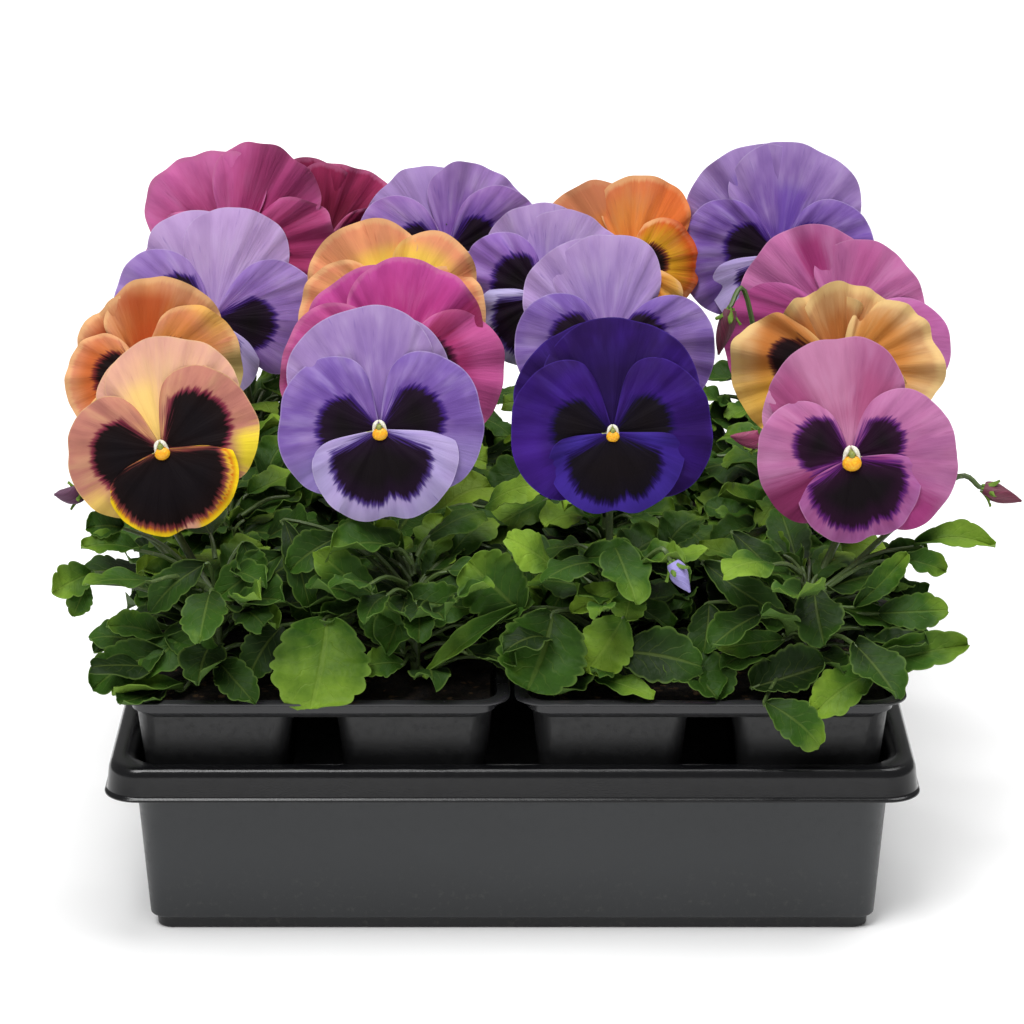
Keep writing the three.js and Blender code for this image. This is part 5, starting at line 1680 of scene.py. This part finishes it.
class PANSIES_OT_plants(bpy.types.Operator):
    """Grow the stems, stalks, sepals and leaves of the sixteen plants"""

    bl_idname = "pansies.plants"
    bl_label = "Plants"

    def execute(self, context):
        build_plants(context.scene.pansy_plants)
        return {"FINISHED"}


class PANSIES_OT_blooms(bpy.types.Operator):
    """Set the seventeen blooms on their stalks"""

    bl_idname = "pansies.blooms"
    bl_label = "Blooms"

    def execute(self, context):
        build_blooms(context.scene.pansy_blooms)
        return {"FINISHED"}


class PANSIES_OT_buds(bpy.types.Operator):
    """Set the furled buds on their stalks"""

    bl_idname = "pansies.buds"
    bl_label = "Buds"

    def execute(self, context):
        build_buds()
        return {"FINISHED"}


class PANSIES_OT_stage(bpy.types.Operator):
    """Lay the floor, hang the lights and aim the camera"""

    bl_idname = "pansies.stage"
    bl_label = "Stage"

    def execute(self, context):
        build_stage(context.scene.pansy_stage)
        return {"FINISHED"}


OPERATORS = (PANSIES_OT_tray, PANSIES_OT_packs, PANSIES_OT_compost, PANSIES_OT_plants,
             PANSIES_OT_blooms, PANSIES_OT_buds, PANSIES_OT_stage)
SETTINGS = {"pansy_tray": TraySizes, "pansy_packs": PackSizes, "pansy_compost": CompostSizes,
            "pansy_plants": PlantSizes, "pansy_blooms": BloomSizes, "pansy_stage": StageSettings}


class PANSIES_PT_sidebar(bpy.types.Panel):
    """The pieces of the flat, each with its button"""

    bl_label = "Pansy Flat"
    bl_idname = "PANSIES_PT_sidebar"
    bl_space_type = "VIEW_3D"
    bl_region_type = "UI"
    bl_category = "Pansies"

    def draw(self, context):
        for operator in OPERATORS:
            self.layout.operator(operator.bl_idname)
        for key, group in SETTINGS.items():
            box = self.layout.box()
            box.label(text=group.__doc__)
            for name in group.__annotations__:
                box.prop(getattr(context.scene, key), name)


def register():
    for kind in (*SETTINGS.values(), *OPERATORS, PANSIES_PT_sidebar):
        bpy.utils.register_class(kind)
    for key, group in SETTINGS.items():
        setattr(bpy.types.Scene, key, bpy.props.PointerProperty(type=group))


def unregister():
    for key in SETTINGS:
        delattr(bpy.types.Scene, key)
    for kind in (PANSIES_PT_sidebar, *reversed(OPERATORS), *SETTINGS.values()):
        bpy.utils.unregister_class(kind)


def main():
    register()
    bpy.ops.pansies.tray()
    bpy.ops.pansies.packs()
    bpy.ops.pansies.compost()
    bpy.ops.pansies.plants()
    bpy.ops.pansies.blooms()
    bpy.ops.pansies.buds()
    bpy.ops.pansies.stage()
    boxes = {"cad": CAD_BOX, "visual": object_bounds()}
    {name: [list(corner) for corner in box] for name, box in boxes.items()}


if __name__ == "__main__":
    main()
